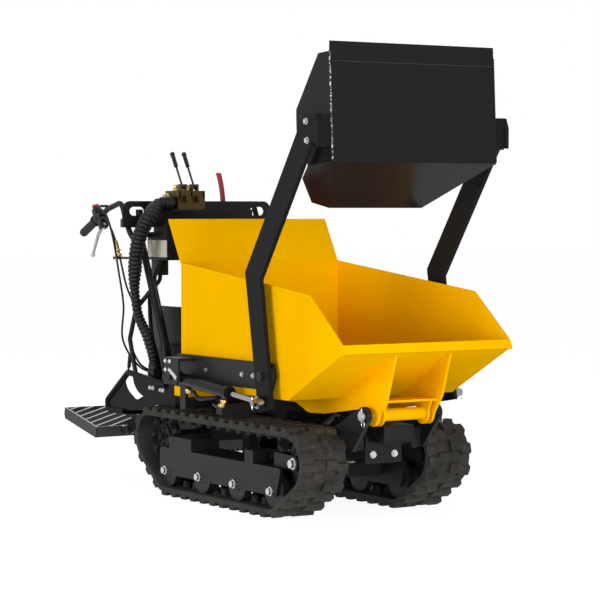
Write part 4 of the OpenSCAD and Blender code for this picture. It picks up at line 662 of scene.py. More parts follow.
LIFT_RUNS = {
    "front": np.array([
        (270, 372.4, 384), (270, 379, 384), (270, 386, 384), (286.8, 402, 381), (320.4, 410, 376),
        (338, 412, 380), (354, 412, 380),
    ]) * MM,
    "rear": np.array([
        (270, 372.4, 402), (270, 379, 402), (270, 386, 402), (243.6, 402, 399), (190.8, 410, 394),
        (154, 412, 416), (138, 412, 416),
    ]) * MM,
}
LIFT_PIN = np.array([34, 412, 462]) * MM
LIFT_REACH, LIFT_FALL = 586, 50
LIFT_ALONG = np.array([LIFT_REACH, 0, -LIFT_FALL]) / np.hypot(LIFT_REACH, LIFT_FALL)
LIFT_DOWN = np.array([-LIFT_FALL, 0, -LIFT_REACH]) / np.hypot(LIFT_REACH, LIFT_FALL)
LIFT_PORTS = (84 * MM, 342 * MM)
LIFT_PORT_DROP = 33 * MM
# Ends of the underside of the hopper's sloping chute, forward and up, in millimetres
CHUTE_LOW, CHUTE_HIGH = (700, 421), (1044, 598)

# Routes that only these looks have
VALVE_LINES = {
    "rear": np.array([
        (-535, -176, 819.6), (-535, -177, 808), (-535, -182, 796), (-535, -205, 770), (-527, -226, 735),
        (-512, -234, 690), (-505, -236, 640), (-488, -238, 580), (-460, -236, 520), (-438, -233, 460),
        (-430, -232, 425), (-430, -232, 412), (-430, -232, 400.4),
    ]) * MM,
    "front": np.array([
        (-505, -196, 879.6), (-505, -198, 864), (-505, -206, 846), (-500, -220, 800), (-466, -222, 720),
        (-434, -222, 650), (-404, -222, 580), (-378, -222, 520), (-357, -222, 465), (-346, -222, 432),
        (-346, -222, 420), (-346, -222, 408.4),
    ]) * MM,
}
BAR_LEG = np.array([(-580, 300, 1030), (-556, 300, 990), (-519, 252, 886)]) * MM
GUARD_BRACE = np.array([(-507, -300, 438), (-556, -300, 571), (-512, -296, 690), (-462, -256, 764)]) * MM
LEVER_STEM = np.array([(-572, -300, 446), (-568, -300, 456), (-564, -300, 466)]) * MM
LEVER_GRIP = np.array([(-564, -300, 462), (-559, -300, 486), (-554, -300, 510)]) * MM

# Camera, floor and lamps
SENSOR_WIDTH = 36.0
SIGHT_REACH = 60.0
FLOOR_REACH = 40.0
FLOOR_GLOW = 0.915
WHITE = (1, 1, 1, 1)
LIT_FLOOR = (0.8, 0.8, 0.8, 1)
SEEN_FLOOR = (0.2, 0.2, 0.2, 1)
# Each lamp's place, aim, width and power in watts
LAMPS = {
    "side": ((1.6, -6.4, 1.5), (0.2, 0, 0.7), 2.6, 205.0),
    "front": ((6.2, -0.8, 0.5), (0.5, 0, 0.5), 2.6, 260.0),
    "low": ((2.6, -1.2, 0.12), (0.7, 0, 0.5), 0.9, 14.0),
    "top": ((-0.6, -0.4, 5.2), (0, 0, 0.6), 3.6, 12.0),
    "rear": ((-4.6, 2.6, 2.6), (-0.5, 0, 0.7), 3.0, 60.0),
}


class CarrierStep:
    """What the operators share."""

    bl_options = {"REGISTER", "UNDO"}


class CARRIER_OT_stage(CarrierStep, bpy.types.Operator):
    """Sets the camera, the floor, the surround and the lamps"""

    bl_idname = "carrier.stage"
    bl_label = "Set Stage"

    def execute(self, context):
        _, _, look = settings()
        scene = context.scene
        scene.view_settings.view_transform = "Standard"
        self.camera(scene, look)
        self.surround(scene, look.world_strength)
        self.floor(scene)
        for name, (place, aim, width, power) in LAMPS.items():
            lamp = bpy.data.lights.new(f"{name}_lamp", "AREA")
            lamp.size, lamp.energy = width, power
            holder = self.aimed(scene, lamp, place, Vector(aim) - Vector(place))
            holder.visible_camera = False
        return {"FINISHED"}

    def aimed(self, scene, data, place, sight):
        """Object of a camera or lamp that looks along sight."""
        holder = bpy.data.objects.new(data.name, data)
        scene.collection.objects.link(holder)
        holder.location = place
        holder.rotation_euler = sight.to_track_quat("-Z", "Y").to_euler()
        return holder

    def camera(self, scene, look):
        """Camera on its place, its sight turned by azimuth from the y axis and tilted down by pitch."""
        data = bpy.data.cameras.new("photo_camera")
        data.lens, data.sensor_width, data.clip_end = look.lens, SENSOR_WIDTH, SIGHT_REACH
        level = np.cos(look.pitch)
        sight = (-np.sin(look.azimuth) * level, np.cos(look.azimuth) * level, -np.sin(look.pitch))
        scene.camera = self.aimed(scene, data, look.camera_place, Vector(sight))

    def surround(self, scene, strength):
        """White to rays that see it, and a plain light of the given strength to others."""
        scene.world = scene.world or bpy.data.worlds.new("surround")
        scene.world.use_nodes = True
        tree = ShaderTree(scene.world.node_tree)
        lit = tree.tree.nodes["Background"]
        tree.feed(lit.inputs["Color"], WHITE)
        tree.feed(lit.inputs["Strength"], strength)
        seen = tree.node("ShaderNodeBackground", None, {"Color": WHITE, "Strength": 1.0})
        tree.feed(tree.tree.nodes["World Output"].inputs[0], tree.seen_or_lit(seen, lit))

    def floor(self, scene):
        """Pale sheet that glows to rays that see it, and still takes the object's shadow."""
        corners = [(x * FLOOR_REACH, y * FLOOR_REACH, 0) for x, y in ((-1, -1), (1, -1), (1, 1), (-1, 1))]
        mesh = bpy.data.meshes.new("floor")
        mesh.from_pydata(corners, [], [(0, 1, 2, 3)])
        plane = bpy.data.objects.new("floor", mesh)
        scene.collection.objects.link(plane)
        paper = bpy.data.materials.new("pale_floor")
        paper.use_nodes = True
        paper.node_tree.nodes.clear()
        tree = ShaderTree(paper.node_tree)
        lit = tree.node("ShaderNodeBsdfDiffuse", None, {"Color": LIT_FLOOR})
        shaded = tree.node("ShaderNodeBsdfDiffuse", None, {"Color": SEEN_FLOOR})
        glow = tree.node("ShaderNodeEmission", None, {"Strength": FLOOR_GLOW})
        seen = tree.node("ShaderNodeAddShader", None, {0: shaded.outputs[0], 1: glow.outputs[0]})
        tree.node("ShaderNodeOutputMaterial", None, {0: tree.seen_or_lit(seen, lit)})
        mesh.materials.append(paper)


class CARRIER_OT_finishes(CarrierStep, bpy.types.Operator):
    """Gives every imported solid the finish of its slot"""

    bl_idname = "carrier.finishes"
    bl_label = "Apply Finishes"

    def execute(self, context):
        make_finishes()
        for part in frame["record"]["subparts"]:
            solid = frame["nodes"][part["node"]]
            solid.data.materials.clear()
            solid.data.materials.append(FINISHES[OWN_FINISH.get(part["node"], part["material_slot"])])
        return {"FINISHED"}


def lay_cord(name, path, radii, slot, node, sides, start=ACROSS):
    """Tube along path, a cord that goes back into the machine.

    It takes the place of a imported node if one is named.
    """
    piece = lay_mesh(name, [carried(path, radii, sides, start)], slot, "base", angle=75)
    if node:
        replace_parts(piece, node)


class CARRIER_OT_hose(CarrierStep, bpy.types.Operator):
    """Makes the ribbed hose with its end cuffs"""

    bl_idname = "carrier.hose"
    bl_label = "Make Ribbed Hose"

    def execute(self, context):
        self.hose()
        self.cuffs()
        return {"FINISHED"}

    def hose(self):
        """Radius R(s) - depth(1 - |sin(pi ribs s)|^0.6). R is even over each stretch and blends between."""
        _, sizes, _ = settings()
        per_rib, roundness = 10, 0.6
        route = smooth_route(HOSE_ROUTE, 0.001)
        path = respaced(route, route_length(route) / (sizes.ribs * per_rib))
        s = np.linspace(0, 1, len(path))
        wave = np.abs(np.sin(np.pi * sizes.ribs * s)) ** roundness
        stretches = (
            sizes.neck_radius, sizes.top_radius, sizes.shoulder_radius, sizes.waist_radius, sizes.foot_radius,
        )
        stretch_ends = (0, 0.06, 0.15, 0.24, 0.36, 0.46, 0.57, 0.7, 0.86, 1)
        radii = np.interp(s, stretch_ends, np.repeat(stretches, 2)) - sizes.rib_depth * (1 - wave)
        lay_cord("ribbed_hose_form", path, radii, "hose_plastic", "ribbed_hose", 32, AHEAD)

    def cuffs(self):
        """A turned collar round each end of the hose."""
        _, sizes, _ = settings()
        neck, foot = sizes.neck_radius + 0.0012, sizes.foot_radius + 0.0015
        neck_cuff = [(neck - 0.003, 0), (neck, 0.002), (neck, 0.016), (neck - 0.002, 0.02)]
        foot_cuff = [(foot - 0.002, 0), (foot, 0.002), (foot, 0.016), (foot - 0.002, 0.019)]
        parts = [turned(HOSE_ROUTE[0], -ACROSS, neck_cuff), turned(HOSE_ROUTE[-1], UP, foot_cuff)]
        lay_mesh("hose_cuffs", parts, "black_plastic", "base")


class CARRIER_OT_cables(CarrierStep, bpy.types.Operator):
    """Makes the control cables, the valve lines and the lift cylinder hoses"""

    bl_idname = "carrier.cables"
    bl_label = "Make Cables"

    def execute(self, context):
        _, sizes, _ = settings()
        step, lift_step = 0.006, 0.004
        valve_line_radius, lift_hose_radius = 0.0085, 0.007
        for name, side in SIDES.items():
            path = smooth_route(self.clutch_route() * (1, side, 1), step)
            lay_cord(f"clutch_cable_{name}", path, sizes.cable_radius, "hose_rubber", "control_cables", 12)
        path = smooth_route(self.throttle_route(), step)
        lay_cord("throttle_cable", path, sizes.cable_radius, "hose_rubber", "control_cables", 12, AHEAD)
        for end, route in VALVE_LINES.items():
            path = smooth_route(route, step)
            lay_cord(f"valve_line_{end}", path, valve_line_radius, "hose_rubber", None, 16, AHEAD)
        for name, side in SIDES.items():
            for end, route in LIFT_RUNS.items():
                path = smooth_route(route * (1, side, 1), lift_step)
                hose = f"lift_hose_{name}_{end}"
                lay_cord(hose, path, lift_hose_radius, "hose_rubber", "lift_hoses", 16, UP)
        return {"FINISHED"}

    def clutch_route(self):
        """Straight out of the left clutch clamp, then down to the deck."""
        clamp_half, aside, drop = 0.015, 0.011, 0.02
        start = CLUTCH_CLAMP + BAR_AHEAD * clamp_half + ACROSS * aside - BAR_UP * drop
        return np.vstack([[start + BAR_AHEAD * d for d in (0.0004, 0.006, 0.014)], CLUTCH_RUN])

    def throttle_route(self):
        """Straight out of the throttle lever's pivot on the right bar, then down to the deck."""
        pivot_rise = 19.5
        x, z = THROTTLE_CLAMP[[0, 2]] / MM + (0, pivot_rise)
        outlet = np.array([(x, y, z + 5) for y in (-315.6, -320.6, -325.6)] + [(x + 14, -330.6, z - 1)]) * MM
        return np.vstack([outlet, THROTTLE_RUN])


class CARRIER_OT_tubes(CarrierStep, bpy.types.Operator):
    """Makes the bent tubes: handlebars, console columns, rear guard, platform, hand levers and grips"""

    bl_idname = "carrier.tubes"
    bl_label = "Make Bent Tubes"

    def execute(self, context):
        self.handlebars()
        self.columns()
        self.guard()
        self.guard_rods()
        self.platform()
        self.levers()
        self.grips()
        return {"FINISHED"}

    def handlebars(self):
        """Bent bar with its foot block, the clutch clamp with two cheeks, and the leg down to the console."""
        tube_radius, bar_bend, leg_bend, clamp_half = 0.011, 0.036, 0.05, 0.015
        cheek_inside, cheek_outside, cheek_drop = 0.007, 0.015, 0.056
        clamp = [(0.016, 0), (0.018, 0.002), (0.018, 0.028), (0.016, 0.03)]
        parts = [
            carried(bent_route(BAR_ROUTE, bar_bend), tube_radius, 24, dome=0.002),
            rounded_block((-0.598, 0.28, 1.008), (-0.552, 0.32, 1.042), 0.004),
            turned(CLUTCH_CLAMP - BAR_AHEAD * clamp_half, BAR_AHEAD, clamp),
            carried(bent_route(BAR_LEG, leg_bend), tube_radius, 20),
        ]
        for y0, y1 in ((cheek_inside, cheek_outside), (-cheek_outside, -cheek_inside)):
            low, high = (-clamp_half, y0, -cheek_drop), (clamp_half, y1, 0)
            parts.append(rounded_block(low, high, 0.003, BAR_AXES, CLUTCH_CLAMP))
        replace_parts(lay_mesh("handlebar_forms", both_sides(parts), "black_paint", "base"), "handlebars")

    def columns(self):
        """Two bent columns on foot plates, with one cross tube."""
        tube_radius, bend, cross_radius = 0.014, 0.06, 0.01
        cross_x, cross_z, cross_half = -0.569, 0.978, 0.25
        column = [
            carried(bent_route(COLUMN_ROUTE, bend), tube_radius, 24),
            rounded_block((-0.38, 0.216, 0.4), (-0.312, 0.284, 0.408), 0.003),
        ]
        cross = [(cross_x, y, cross_z) for y in np.linspace(-cross_half, cross_half, 9)]
        parts = both_sides(column) + [carried(cross, cross_radius, 20, UP)]
        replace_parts(lay_mesh("console_column_forms", parts, "black_paint", "base"), "console_column")

    def guard(self):
        """Bent tube round a side plate in two fields with a crescent slot between them, and its fixings."""
        web = np.array([
            (-748, 316), (-724, 288), (-602, 288), (-450, 300), (-481, 321), (-523, 346), (-548, 357),
            (-565, 366), (-580, 378), (-590, 392), (-594, 408), (-588, 426),
        ]) * MM
        skirt = np.array([
            (-531, 436), (-526, 412), (-518, 397), (-505, 384), (-489, 371), (-468, 362), (-444, 355),
            (-490, 338), (-513, 341), (-481, 322), (-449, 301), (-400, 303), (-372, 316), (-340, 327.6),
            (-183, 328), (-183, 412), (-260, 412),
        ]) * MM
        tube_radius, bend, inside, outside = 0.012, 0.022, 0.298, 0.302
        parts = [
            carried(bent_route(GUARD_ROUTE, bend), tube_radius, 24),
            side_plate(web, inside, outside),
            side_plate(skirt, inside, outside),
            rounded_block((-0.33, 0.284, 0.392), (-0.236, outside, 0.4), 0.002),
            rounded_block((-0.322, 0.286, 0.4), (-0.236, outside, 0.41), 0.002),
            rounded_block((-0.612, 0.213, 0.27), (-0.6, 0.3, 0.296), 0.003),
        ]
        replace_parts(lay_mesh("rear_guard_forms", both_sides(parts), "guard_black", "base"), "rear_guard")

    def guard_rods(self):
        """Bent brace rod from the right guard to the console, and the small lever beside it."""
        brace_bend, brace_radius, stem_radius, grip_radius = 0.02, 0.009, 0.004, 0.0075
        rods = [
            carried(bent_route(GUARD_BRACE, brace_bend), brace_radius, 18),
            carried(LEVER_STEM, stem_radius, 12),
            carried(LEVER_GRIP, grip_radius, 16, dome=0.005),
        ]
        lay_mesh("guard_rods", rods, "black_paint", "base")

    def platform(self):
        """Slanting bars in a frame, with two lugs on pivots, drawn level and put on the tilted axes."""
        walls = (
            ((-0.320, -0.338, -0.022), (-0.312, 0.338, 0.008)),
            ((-0.038, -0.338, -0.036), (-0.030, 0.338, 0.008)),
        )
        flank = np.array([(-320, -22), (-308, -36), (-30, -36), (-30, 8), (-320, 8)]) * MM
        eye_radius = 18
        a = np.radians(np.linspace(-90, 153.6, 24))[1:, None]
        eye = eye_radius * np.hstack([np.cos(a), np.sin(a)])
        lug = np.vstack([[(-38, 8), (-38, -22), (0, -eye_radius)], eye]) * MM
        pivot = [(0.0075, 0), (0.008, 0.0005), (0.008, 0.02)]
        flanks = [
            side_plate(flank, 0.332, 0.340),
            side_plate(lug, 0.2134, 0.2234),
            turned((0, 0.202, 0), ACROSS, pivot),
        ]
        level = [self.grating_bars()]
        level += [rounded_block(low, high, 0.0015) for low, high in walls]
        level += both_sides(flanks)
        parts = [(vertices @ PLATFORM_AXES + PLATFORM_HINGE, faces) for vertices, faces in level]
        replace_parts(lay_mesh("platform_form", parts, "platform_steel", "platform"), "platform")

    def grating_bars(self):
        """Bars along d, between lines n.p = c: each line p = n c + d t is cut where it meets the frame."""
        low, high = np.array([-0.316, -0.336]), np.array([-0.034, 0.336])
        bar_under, bar_top, half_width, bar_pitch, shortest = -0.020, 0.008, 0.004, 0.04, 0.012
        slant = np.radians(123)
        d, n = np.array([np.cos(slant), np.sin(slant)]), np.array([-np.sin(slant), np.cos(slant)])
        c = np.arange(-0.30, 0.60, bar_pitch)[:, None] + np.array([-half_width, half_width])
        near = n * c[..., None]
        ends = np.sort(np.stack([(low - near) / d, (high - near) / d]), axis=0)
        start, stop = ends[0].max(-1), ends[1].min(-1)
        keep = ((stop - start) > shortest).all(1)
        edge = near[:, :, None] + d * np.stack([start, stop], -1)[..., None]
        quads = edge[keep].reshape(-1, 4, 2)[:, [0, 1, 3, 2]]
        u, v = quads[:, 1] - quads[:, 0], quads[:, 2] - quads[:, 0]
        clockwise = u[:, 0] * v[:, 1] < u[:, 1] * v[:, 0]
        quads = np.where(clockwise[:, None, None], quads[:, ::-1], quads)
        count = len(quads)
        flat = np.broadcast_to(quads[:, None], (count, 2, 4, 2))
        levels = np.broadcast_to(np.array([bar_under, bar_top])[None, :, None, None], (count, 2, 4, 1))
        six = np.array([(3, 2, 1, 0), (4, 5, 6, 7), (0, 1, 5, 4), (1, 2, 6, 5), (2, 3, 7, 6), (3, 0, 4, 7)])
        faces = (six[None] + 8 * np.arange(count)[:, None, None]).reshape(-1, 4)
        return np.concatenate([flat, levels], -1).reshape(-1, 3), [faces]

    def levers(self):
        """Bent lever of changing thickness, with a ball at its end and a disc at its pivot."""
        pivot_drop, knee_bend, step = 0.044, 0.04, 0.003
        pivot = CLUTCH_CLAMP - BAR_UP * pivot_drop
        knee, end = pivot + np.array([-44, 0, -36]) * MM, pivot + np.array([-92, 0, -118]) * MM
        path = respaced(bent_route([pivot, knee, end], knee_bend, 16), step)
        radii = np.interp(np.linspace(0, 1, len(path)), (0, 0.12, 0.6, 1), (0.0055, 0.0078, 0.006, 0.0055))
        ball_radius, pole = 0.009, 0.05
        a = np.linspace(pole, np.pi - pole, 24)
        ball = np.column_stack([ball_radius * np.sin(a), -ball_radius * np.cos(a)])
        disc = [(0.011, -0.0065), (0.014, -0.0045), (0.014, 0.0045), (0.011, 0.0065)]
        parts = [carried(path, radii, 20), turned(end, UP, ball), turned(pivot, ACROSS, disc)]
        for name, side in SIDES.items():
            lever = f"clutch_lever_{name}"
            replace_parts(lay_mesh(f"{lever}_form", mirrored(parts, side), "lever_alloy", lever), lever)

    def grips(self):
        """Fluted grips: radius r(1 - 0.05(1 - |cos 7a|)) about the bar, with a flange and a domed end."""
        profile = np.array([
            (0.004, -0.006), (0.012, -0.0055), (0.0162, -0.003), (0.017, 0.001), (0.017, 0.108),
            (0.0185, 0.112), (0.0235, 0.116), (0.024, 0.119), (0.0235, 0.122), (0.0225, 0.124),
        ])
        rows, flutes, flute_depth = 60, 7, 0.05
        flutes_from, flutes_to = 0.004, 0.106
        share, points = np.linspace(0, 1, rows), np.linspace(0, 1, len(profile))
        radius, height = (np.interp(share, points, column) for column in profile.T)
        axis, a, ring = ring_about(BAR_AHEAD, 12 * flutes)
        flute = 1 - flute_depth * (1 - np.abs(np.cos(flutes * a)))
        fluted = (height > flutes_from) & (height < flutes_to)
        wide = radius[:, None] * np.where(fluted[:, None], flute[None], 1.0)
        grid = BAR_END + height[:, None, None] * axis + wide[:, :, None] * ring[None]
        piece = lay_mesh("grip_forms", both_sides([capped(grid)]), "grip_rubber", "base", angle=60)
        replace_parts(piece, "grips")


class CARRIER_OT_fittings(CarrierStep, bpy.types.Operator):
    """Makes the brass fittings, the split pins and the small bolts"""

    bl_idname = "carrier.fittings"
    bl_label = "Make Fittings"

    def execute(self, context):
        self.lift_fittings()
        self.valve_fittings()
        self.cable_adjusters()
        self.adjuster_tabs()
        self.split_pins()
        self.small_bolts()
        return {"FINISHED"}

    def lift_fittings(self):
        """Hexagon adaptor, elbow and ferrule at each port of a lift barrel."""
        adaptor = [(0.0105, 0), (0.0115, 0.001), (0.0115, 0.009), (0.0095, 0.011)]
        collar = [(0.009, 0.011), (0.0095, 0.012), (0.0095, 0.016), (0.008, 0.018)]
        ferrule = [
            (0.0075, 0), (0.009, 0.001), (0.009, 0.008), (0.008, 0.009), (0.009, 0.01), (0.009, 0.016),
            (0.007, 0.018),
        ]
        sunk, elbow_reach, ferrule_from, elbow_radius = 0.004, 0.012, 0.007, 0.0068
        parts = []
        for port, way, drop in zip(LIFT_PORTS, (LIFT_ALONG, -LIFT_ALONG), (0.0085, 0.0235)):
            end = LIFT_PIN + LIFT_ALONG * port + LIFT_DOWN * (LIFT_PORT_DROP - sunk)
            bend = end + LIFT_DOWN * drop
            elbow = bent_route([end + LIFT_DOWN * 0.001, bend, bend + way * elbow_reach], 0.005)
            parts += [
                hex_nut(end, LIFT_DOWN, adaptor),
                turned(end, LIFT_DOWN, collar),
                carried(elbow, elbow_radius, 16),
                turned(bend + way * ferrule_from, way, ferrule, 24),
            ]
        for name, side in SIDES.items():
            lay_mesh(f"lift_fittings_{name}", mirrored(parts, side), "brass", f"lift_barrel_{name}")

    def valve_fittings(self):
        """Hexagon unions on the top and both ends of the valve block."""
        nut = [(0.010, 0), (0.011, 0.001), (0.011, 0.010), (0.0095, 0.012)]
        pipe = [(0.0075, 0.011), (0.008, 0.012), (0.008, 0.022), (0.0065, 0.025)]
        ports = [
            ((-0.515, -0.116, 1.15), UP),
            ((-0.515, -0.064, 1.15), UP),
            ((-0.488, -0.09, 1.15), UP),
            ((-0.5, -0.0305, 1.098), ACROSS),
            ((-0.5, -0.0305, 1.128), ACROSS),
            ((-0.51, -0.1495, 1.13), -ACROSS),
        ]
        parts = []
        for place, way in ports:
            parts += [hex_nut(place, way, nut), turned(place, way, pipe, 24)]
        lay_mesh("valve_fittings", parts, "brass", "base")

    def cable_adjusters(self):
        """Barrel adjusters with two lock nuts each, on the clutch cables."""
        ends = np.array([(-0.671, 0.3025, 0.955), (-0.6455, 0.2965, 0.888)])
        nut = [(0.0095, 0), (0.0105, 0.001), (0.0105, 0.008), (0.0095, 0.009)]
        parts = []
        for side in SIDES.values():
            top, low = ends * (1, side, 1)
            reach = np.linalg.norm(low - top)
            along = (low - top) / reach
            barrel = [
                (0.0055, 0), (0.0082, 0.002), (0.0082, reach * 0.62), (0.006, reach * 0.64), (0.006, reach),
            ]
            parts.append(turned(top, along, barrel, 24))
            parts += [hex_nut(top + along * reach * share, along, nut) for share in (0.5, 0.78)]
        lay_mesh("cable_adjusters", parts, "brass", "base")

    def adjuster_tabs(self):
        """Small tab under each adjuster, on a stay from the console column."""
        stay = np.linspace((-0.514, 0.252, 0.8875), (-0.645, 0.300, 0.8875), 12)
        tab = rounded_block((-0.666, 0.288, 0.882), (-0.634, 0.318, 0.893), 0.002)
        lay_mesh("adjuster_tabs", both_sides([tab, carried(stay, 0.005, 14)]), "chromate", "base")

    def split_pins(self):
        """Bent wire through the end of each hinge pin and rod-end pin."""
        hinge_wire, rod_wire, step = 0.0016, 0.0018, 0.004
        pin_x, eye_z, eye_radius = 0.88, 0.345, 0.009
        ring = np.linspace(0, 2 * np.pi, 28)
        for name, side in SIDES.items():
            y = 0.163 * side
            eye_x = pin_x + 0.010 + eye_radius * np.cos(ring)
            eye = np.column_stack([eye_x, np.full_like(ring, y), eye_z + eye_radius * np.sin(ring)])
            leg = np.array([(pin_x, y, 0.398), (pin_x, y, 0.36), (0.884, y, 0.35)])
            parts = [carried(eye, hinge_wire, 8), carried(respaced(leg, step), hinge_wire, 8)]
            lay_mesh(f"hinge_split_pin_{name}", parts, "zinc_steel", "base")
            y = 0.443 * side
            leg = np.array([(0.62, y, 0.432), (0.62, y, 0.392), (0.626, y, 0.386)])
            parts = [carried(respaced(leg, step), rod_wire, 8)]
            lay_mesh(f"rod_end_cotter_{name}", parts, "chrome_rod", f"lift_rod_{name}")

    def small_bolts(self):
        """Clevis keeper, and the bolts of keeper, loader plate, guard, platform bracket and column foot."""
        keeper_place, keeper_slope = (0.062, 0.4438, 0.474), pitched(0.5)
        low, high = (-0.024, 0, -0.008), (0.024, 0.0025, 0.008)
        parts = [rounded_block(low, high, 0.001, keeper_slope, keeper_place)]
        # Each group's places, the way the heads face, the half width across flats and the height
        groups = (
            ([(0.046, 0.446, 0.483), (0.078, 0.446, 0.465)], ACROSS, 0.0055, 0.0038),
            ([(x, 0.444, z) for z in (0.522, 0.490) for x in (0, 0.032)], ACROSS, 0.0055, 0.0055),
            ([(x, 0.302, 0.392) for x in (-0.385, -0.360)], ACROSS, 0.006, 0.006),
            ([(x, 0.302, 0.388) for x in (-0.300, -0.280)], ACROSS, 0.006, 0.006),
            ([(-0.64, 0.213, z) for z in (0.226, 0.262)], ACROSS, 0.008, 0.008),
            ([(x, y, 0.408) for x in (-0.369, -0.323) for y in (0.226, 0.274)], UP, 0.006, 0.006),
        )
        for places, way, flat_half, height in groups:
            for place in places:
                parts += hex_head(place, way, flat_half, height)
        lay_mesh("small_bolts", both_sides(parts), "zinc_steel", "base")


class CARRIER_OT_welds(CarrierStep, bpy.types.Operator):
    """Lays the weld beads of the shovel and the hinge frame"""

    bl_idname = "carrier.welds"
    bl_label = "Lay Welds"

    def execute(self, context):
        self.shovel_seams()
        self.hinge_welds()
        return {"FINISHED"}

    def bead(self, start, end, radius, pitch):
        """Row of ripples along a straight seam: radius r(1 - depth + depth|sin|)."""
        per_ripple, depth = 5, 0.28
        off_seam = (0.3, 0.5, 0.8)
        start, end = np.asarray(start, float), np.asarray(end, float)
        count = max(3, int(np.linalg.norm(end - start) / pitch))
        t = np.linspace(0, 1, count * per_ripple + 1)
        wave = 1 - depth + depth * np.abs(np.sin(np.pi * count * t))
        return carried(start + (end - start) * t[:, None], radius * wave, 10, off_seam)

    def lay(self, name, beads, slot, body):
        lay_mesh(name, beads, slot, body, angle=80)

    def shovel_seams(self):
        """Upright seam at each side, a thin one under the lip, and one along each side's foot."""
        seam_y, seam_radius, foot_radius, pitch = 0.3385, 0.0032, 0.0035, 0.009
        lip_half, lip_x, lip_z, lip_radius, lip_pitch = 0.336, 0.9545, 1.5735, 0.0016, 0.012
        for name, side in SIDES.items():
            y = seam_y * side
            low, knee, high = (0.9705, y, 1.24), (0.9535, y, 1.572), (0.9521, y, 1.602)
            beads = [self.bead(low, knee, seam_radius, pitch), self.bead(knee, high, seam_radius, pitch)]
            # Only the near side's seam gets the painted highlight specks; the far side's is plain shovel
            # paint
            self.lay(f"shovel_seam_{name}", beads, "weld_bead" if side == RIGHT else "shovel_paint", "loader")
        lip = self.bead((lip_x, -lip_half, lip_z), (lip_x, lip_half, lip_z), lip_radius, lip_pitch)
        self.lay("shovel_lip_seam", [lip], "seam", "loader")
        beads = [
            self.bead((0.968, seam_y * side, 1.2365), (0.816, seam_y * side, 1.2255), foot_radius, pitch)
            for side in SIDES.values()
        ]
        self.lay("shovel_welds", beads, "shovel_paint", "loader")

    def hinge_welds(self):
        """Short beads at both faces of each hinge gusset, along the chute's underside in millimetres."""
        (low_x, low_z), (high_x, high_z) = CHUTE_LOW, CHUTE_HIGH
        slope = (high_z - low_z) / (high_x - low_x)
        first, pitch, run, sunk = 735, 56, 34, 1.5
        bead_radius, ripple = 0.0035, 0.007
        beads = []
        for side in SIDES.values():
            for y in (0.1075, 0.1185):
                for start in first + pitch * np.arange(5):
                    x = np.array([start, start + run])
                    z = low_z + (x - low_x) * slope - sunk
                    seam = np.column_stack([x * MM, (y * side,) * 2, z * MM])
                    beads.append(self.bead(*seam, bead_radius, ripple))
        self.lay("hinge_welds", beads, "yellow_paint", "hopper")


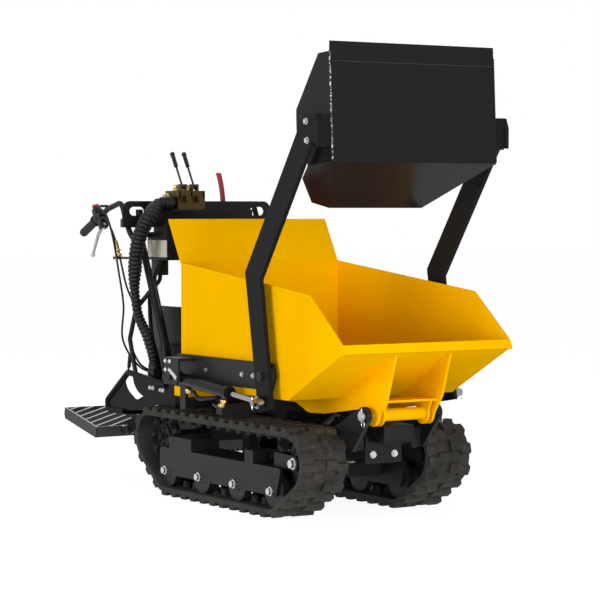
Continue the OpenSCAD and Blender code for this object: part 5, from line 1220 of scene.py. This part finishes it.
class CARRIER_OT_engine(CarrierStep, bpy.types.Operator):
    """Makes the engine's air cleaner, muffler and shield, and the small plates of the frame"""

    bl_idname = "carrier.engine"
    bl_label = "Dress Engine"

    def execute(self, context):
        self.air_cleaner()
        self.muffler()
        self.plates()
        return {"FINISHED"}

    def air_cleaner(self):
        """Soft-edged box with a turned knob."""
        knob = [(0.017, 0), (0.017, 0.004), (0.014, 0.006), (0.005, 0.006)]
        parts = [
            rounded_block((-0.57, -0.135, 0.55), (-0.47, -0.066, 0.592), 0.014, steps=6),
            turned((-0.52, -0.134, 0.571), -ACROSS, knob),
        ]
        lay_mesh("air_cleaner", parts, "black_plastic", "base")

    def muffler(self):
        """Soft-edged drum with six ribs round it."""
        rib_half = 0.002
        parts = [rounded_block((-0.398, -0.138, 0.466), (-0.344, -0.066, 0.56), 0.022, steps=8)]
        for z in np.linspace(0.482, 0.544, 6):
            low, high = (-0.402, -0.141, z - rib_half), (-0.34, -0.064, z + rib_half)
            parts.append(rounded_block(low, high, 0.0018))
        lay_mesh("muffler", parts, "cast_black", "base")

    def plates(self):
        """Plain blocks, each given by its lowest and highest corners and the radius of its edges."""
        plate = rounded_block((-0.584, -0.2022, 0.892), (-0.4345, -0.1990, 0.958), 0.001)
        shield = rounded_block((-0.630, -0.172, 0.46), (-0.345, -0.166, 0.70), 0.002)
        shield_stay = rounded_block((-0.50, -0.168, 0.62), (-0.42, -0.139, 0.66), 0.003)
        union = rounded_block((-0.570, -0.198, 0.820), (-0.512, -0.150, 0.882), 0.004)
        housing = rounded_block((-0.598, -0.1995, 0.880), (-0.543, 0.1995, 0.990), 0.004)
        skirt = rounded_block((-0.50, 0.1405, 0.31), (-0.15, 0.1465, 0.394), 0.001)
        cap = rounded_block((0.861, -0.0557, 0.2783), (0.8687, 0.0557, 0.3267), 0.0015)
        tube_end = rounded_block((-0.102, 0.300, 0.3835), (-0.058, 0.352, 0.4205), 0.003)
        lay_mesh("bare_plate", [plate], "label_plate", "base")
        lay_mesh("engine_shield", [shield, shield_stay], "black_paint", "base")
        lay_mesh("line_union", [union], "black_plastic", "base")
        lay_mesh("control_housing", [housing], "black_paint", "base")
        lay_mesh("chassis_skirts", both_sides([skirt]), "guard_black", "base")
        lay_mesh("nose_cap", [cap], "black_paint", "base")
        lay_mesh("cross_tube_ends", both_sides([tube_end]), "yellow_paint", "hopper")


STEPS = (
    CARRIER_OT_stage, CARRIER_OT_finishes, CARRIER_OT_hose, CARRIER_OT_cables, CARRIER_OT_tubes,
    CARRIER_OT_fittings, CARRIER_OT_welds, CARRIER_OT_engine,
)


class CARRIER_PT_looks(bpy.types.Panel):
    """Lists the steps that dress the carrier"""

    bl_label = "Carrier Looks"
    bl_idname = "CARRIER_PT_looks"
    bl_space_type = "VIEW_3D"
    bl_region_type = "UI"
    bl_category = "Carrier"

    def draw(self, context):
        for step in STEPS:
            self.layout.operator(step.bl_idname)
        for group in settings():
            for name in group.bl_rna.properties.keys():
                if name not in ("rna_type", "name"):
                    self.layout.prop(group, name)


GROUPS = {"carrier_colours": FinishColours, "carrier_hose": HoseSizes, "carrier_stage": StageLook}
CLASSES = (*GROUPS.values(), *STEPS, CARRIER_PT_looks)


def register():
    for made in CLASSES:
        bpy.utils.register_class(made)
    for name, group in GROUPS.items():
        setattr(bpy.types.Scene, name, PointerProperty(type=group))


def unregister():
    for name in GROUPS:
        delattr(bpy.types.Scene, name)
    for made in reversed(CLASSES):
        bpy.utils.unregister_class(made)


def main():
    """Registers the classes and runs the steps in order."""
    register()
    for step in STEPS:
        family, call = step.bl_idname.split(".")
        getattr(getattr(bpy.ops, family), call)()


if __name__ == "__main__":
    main()
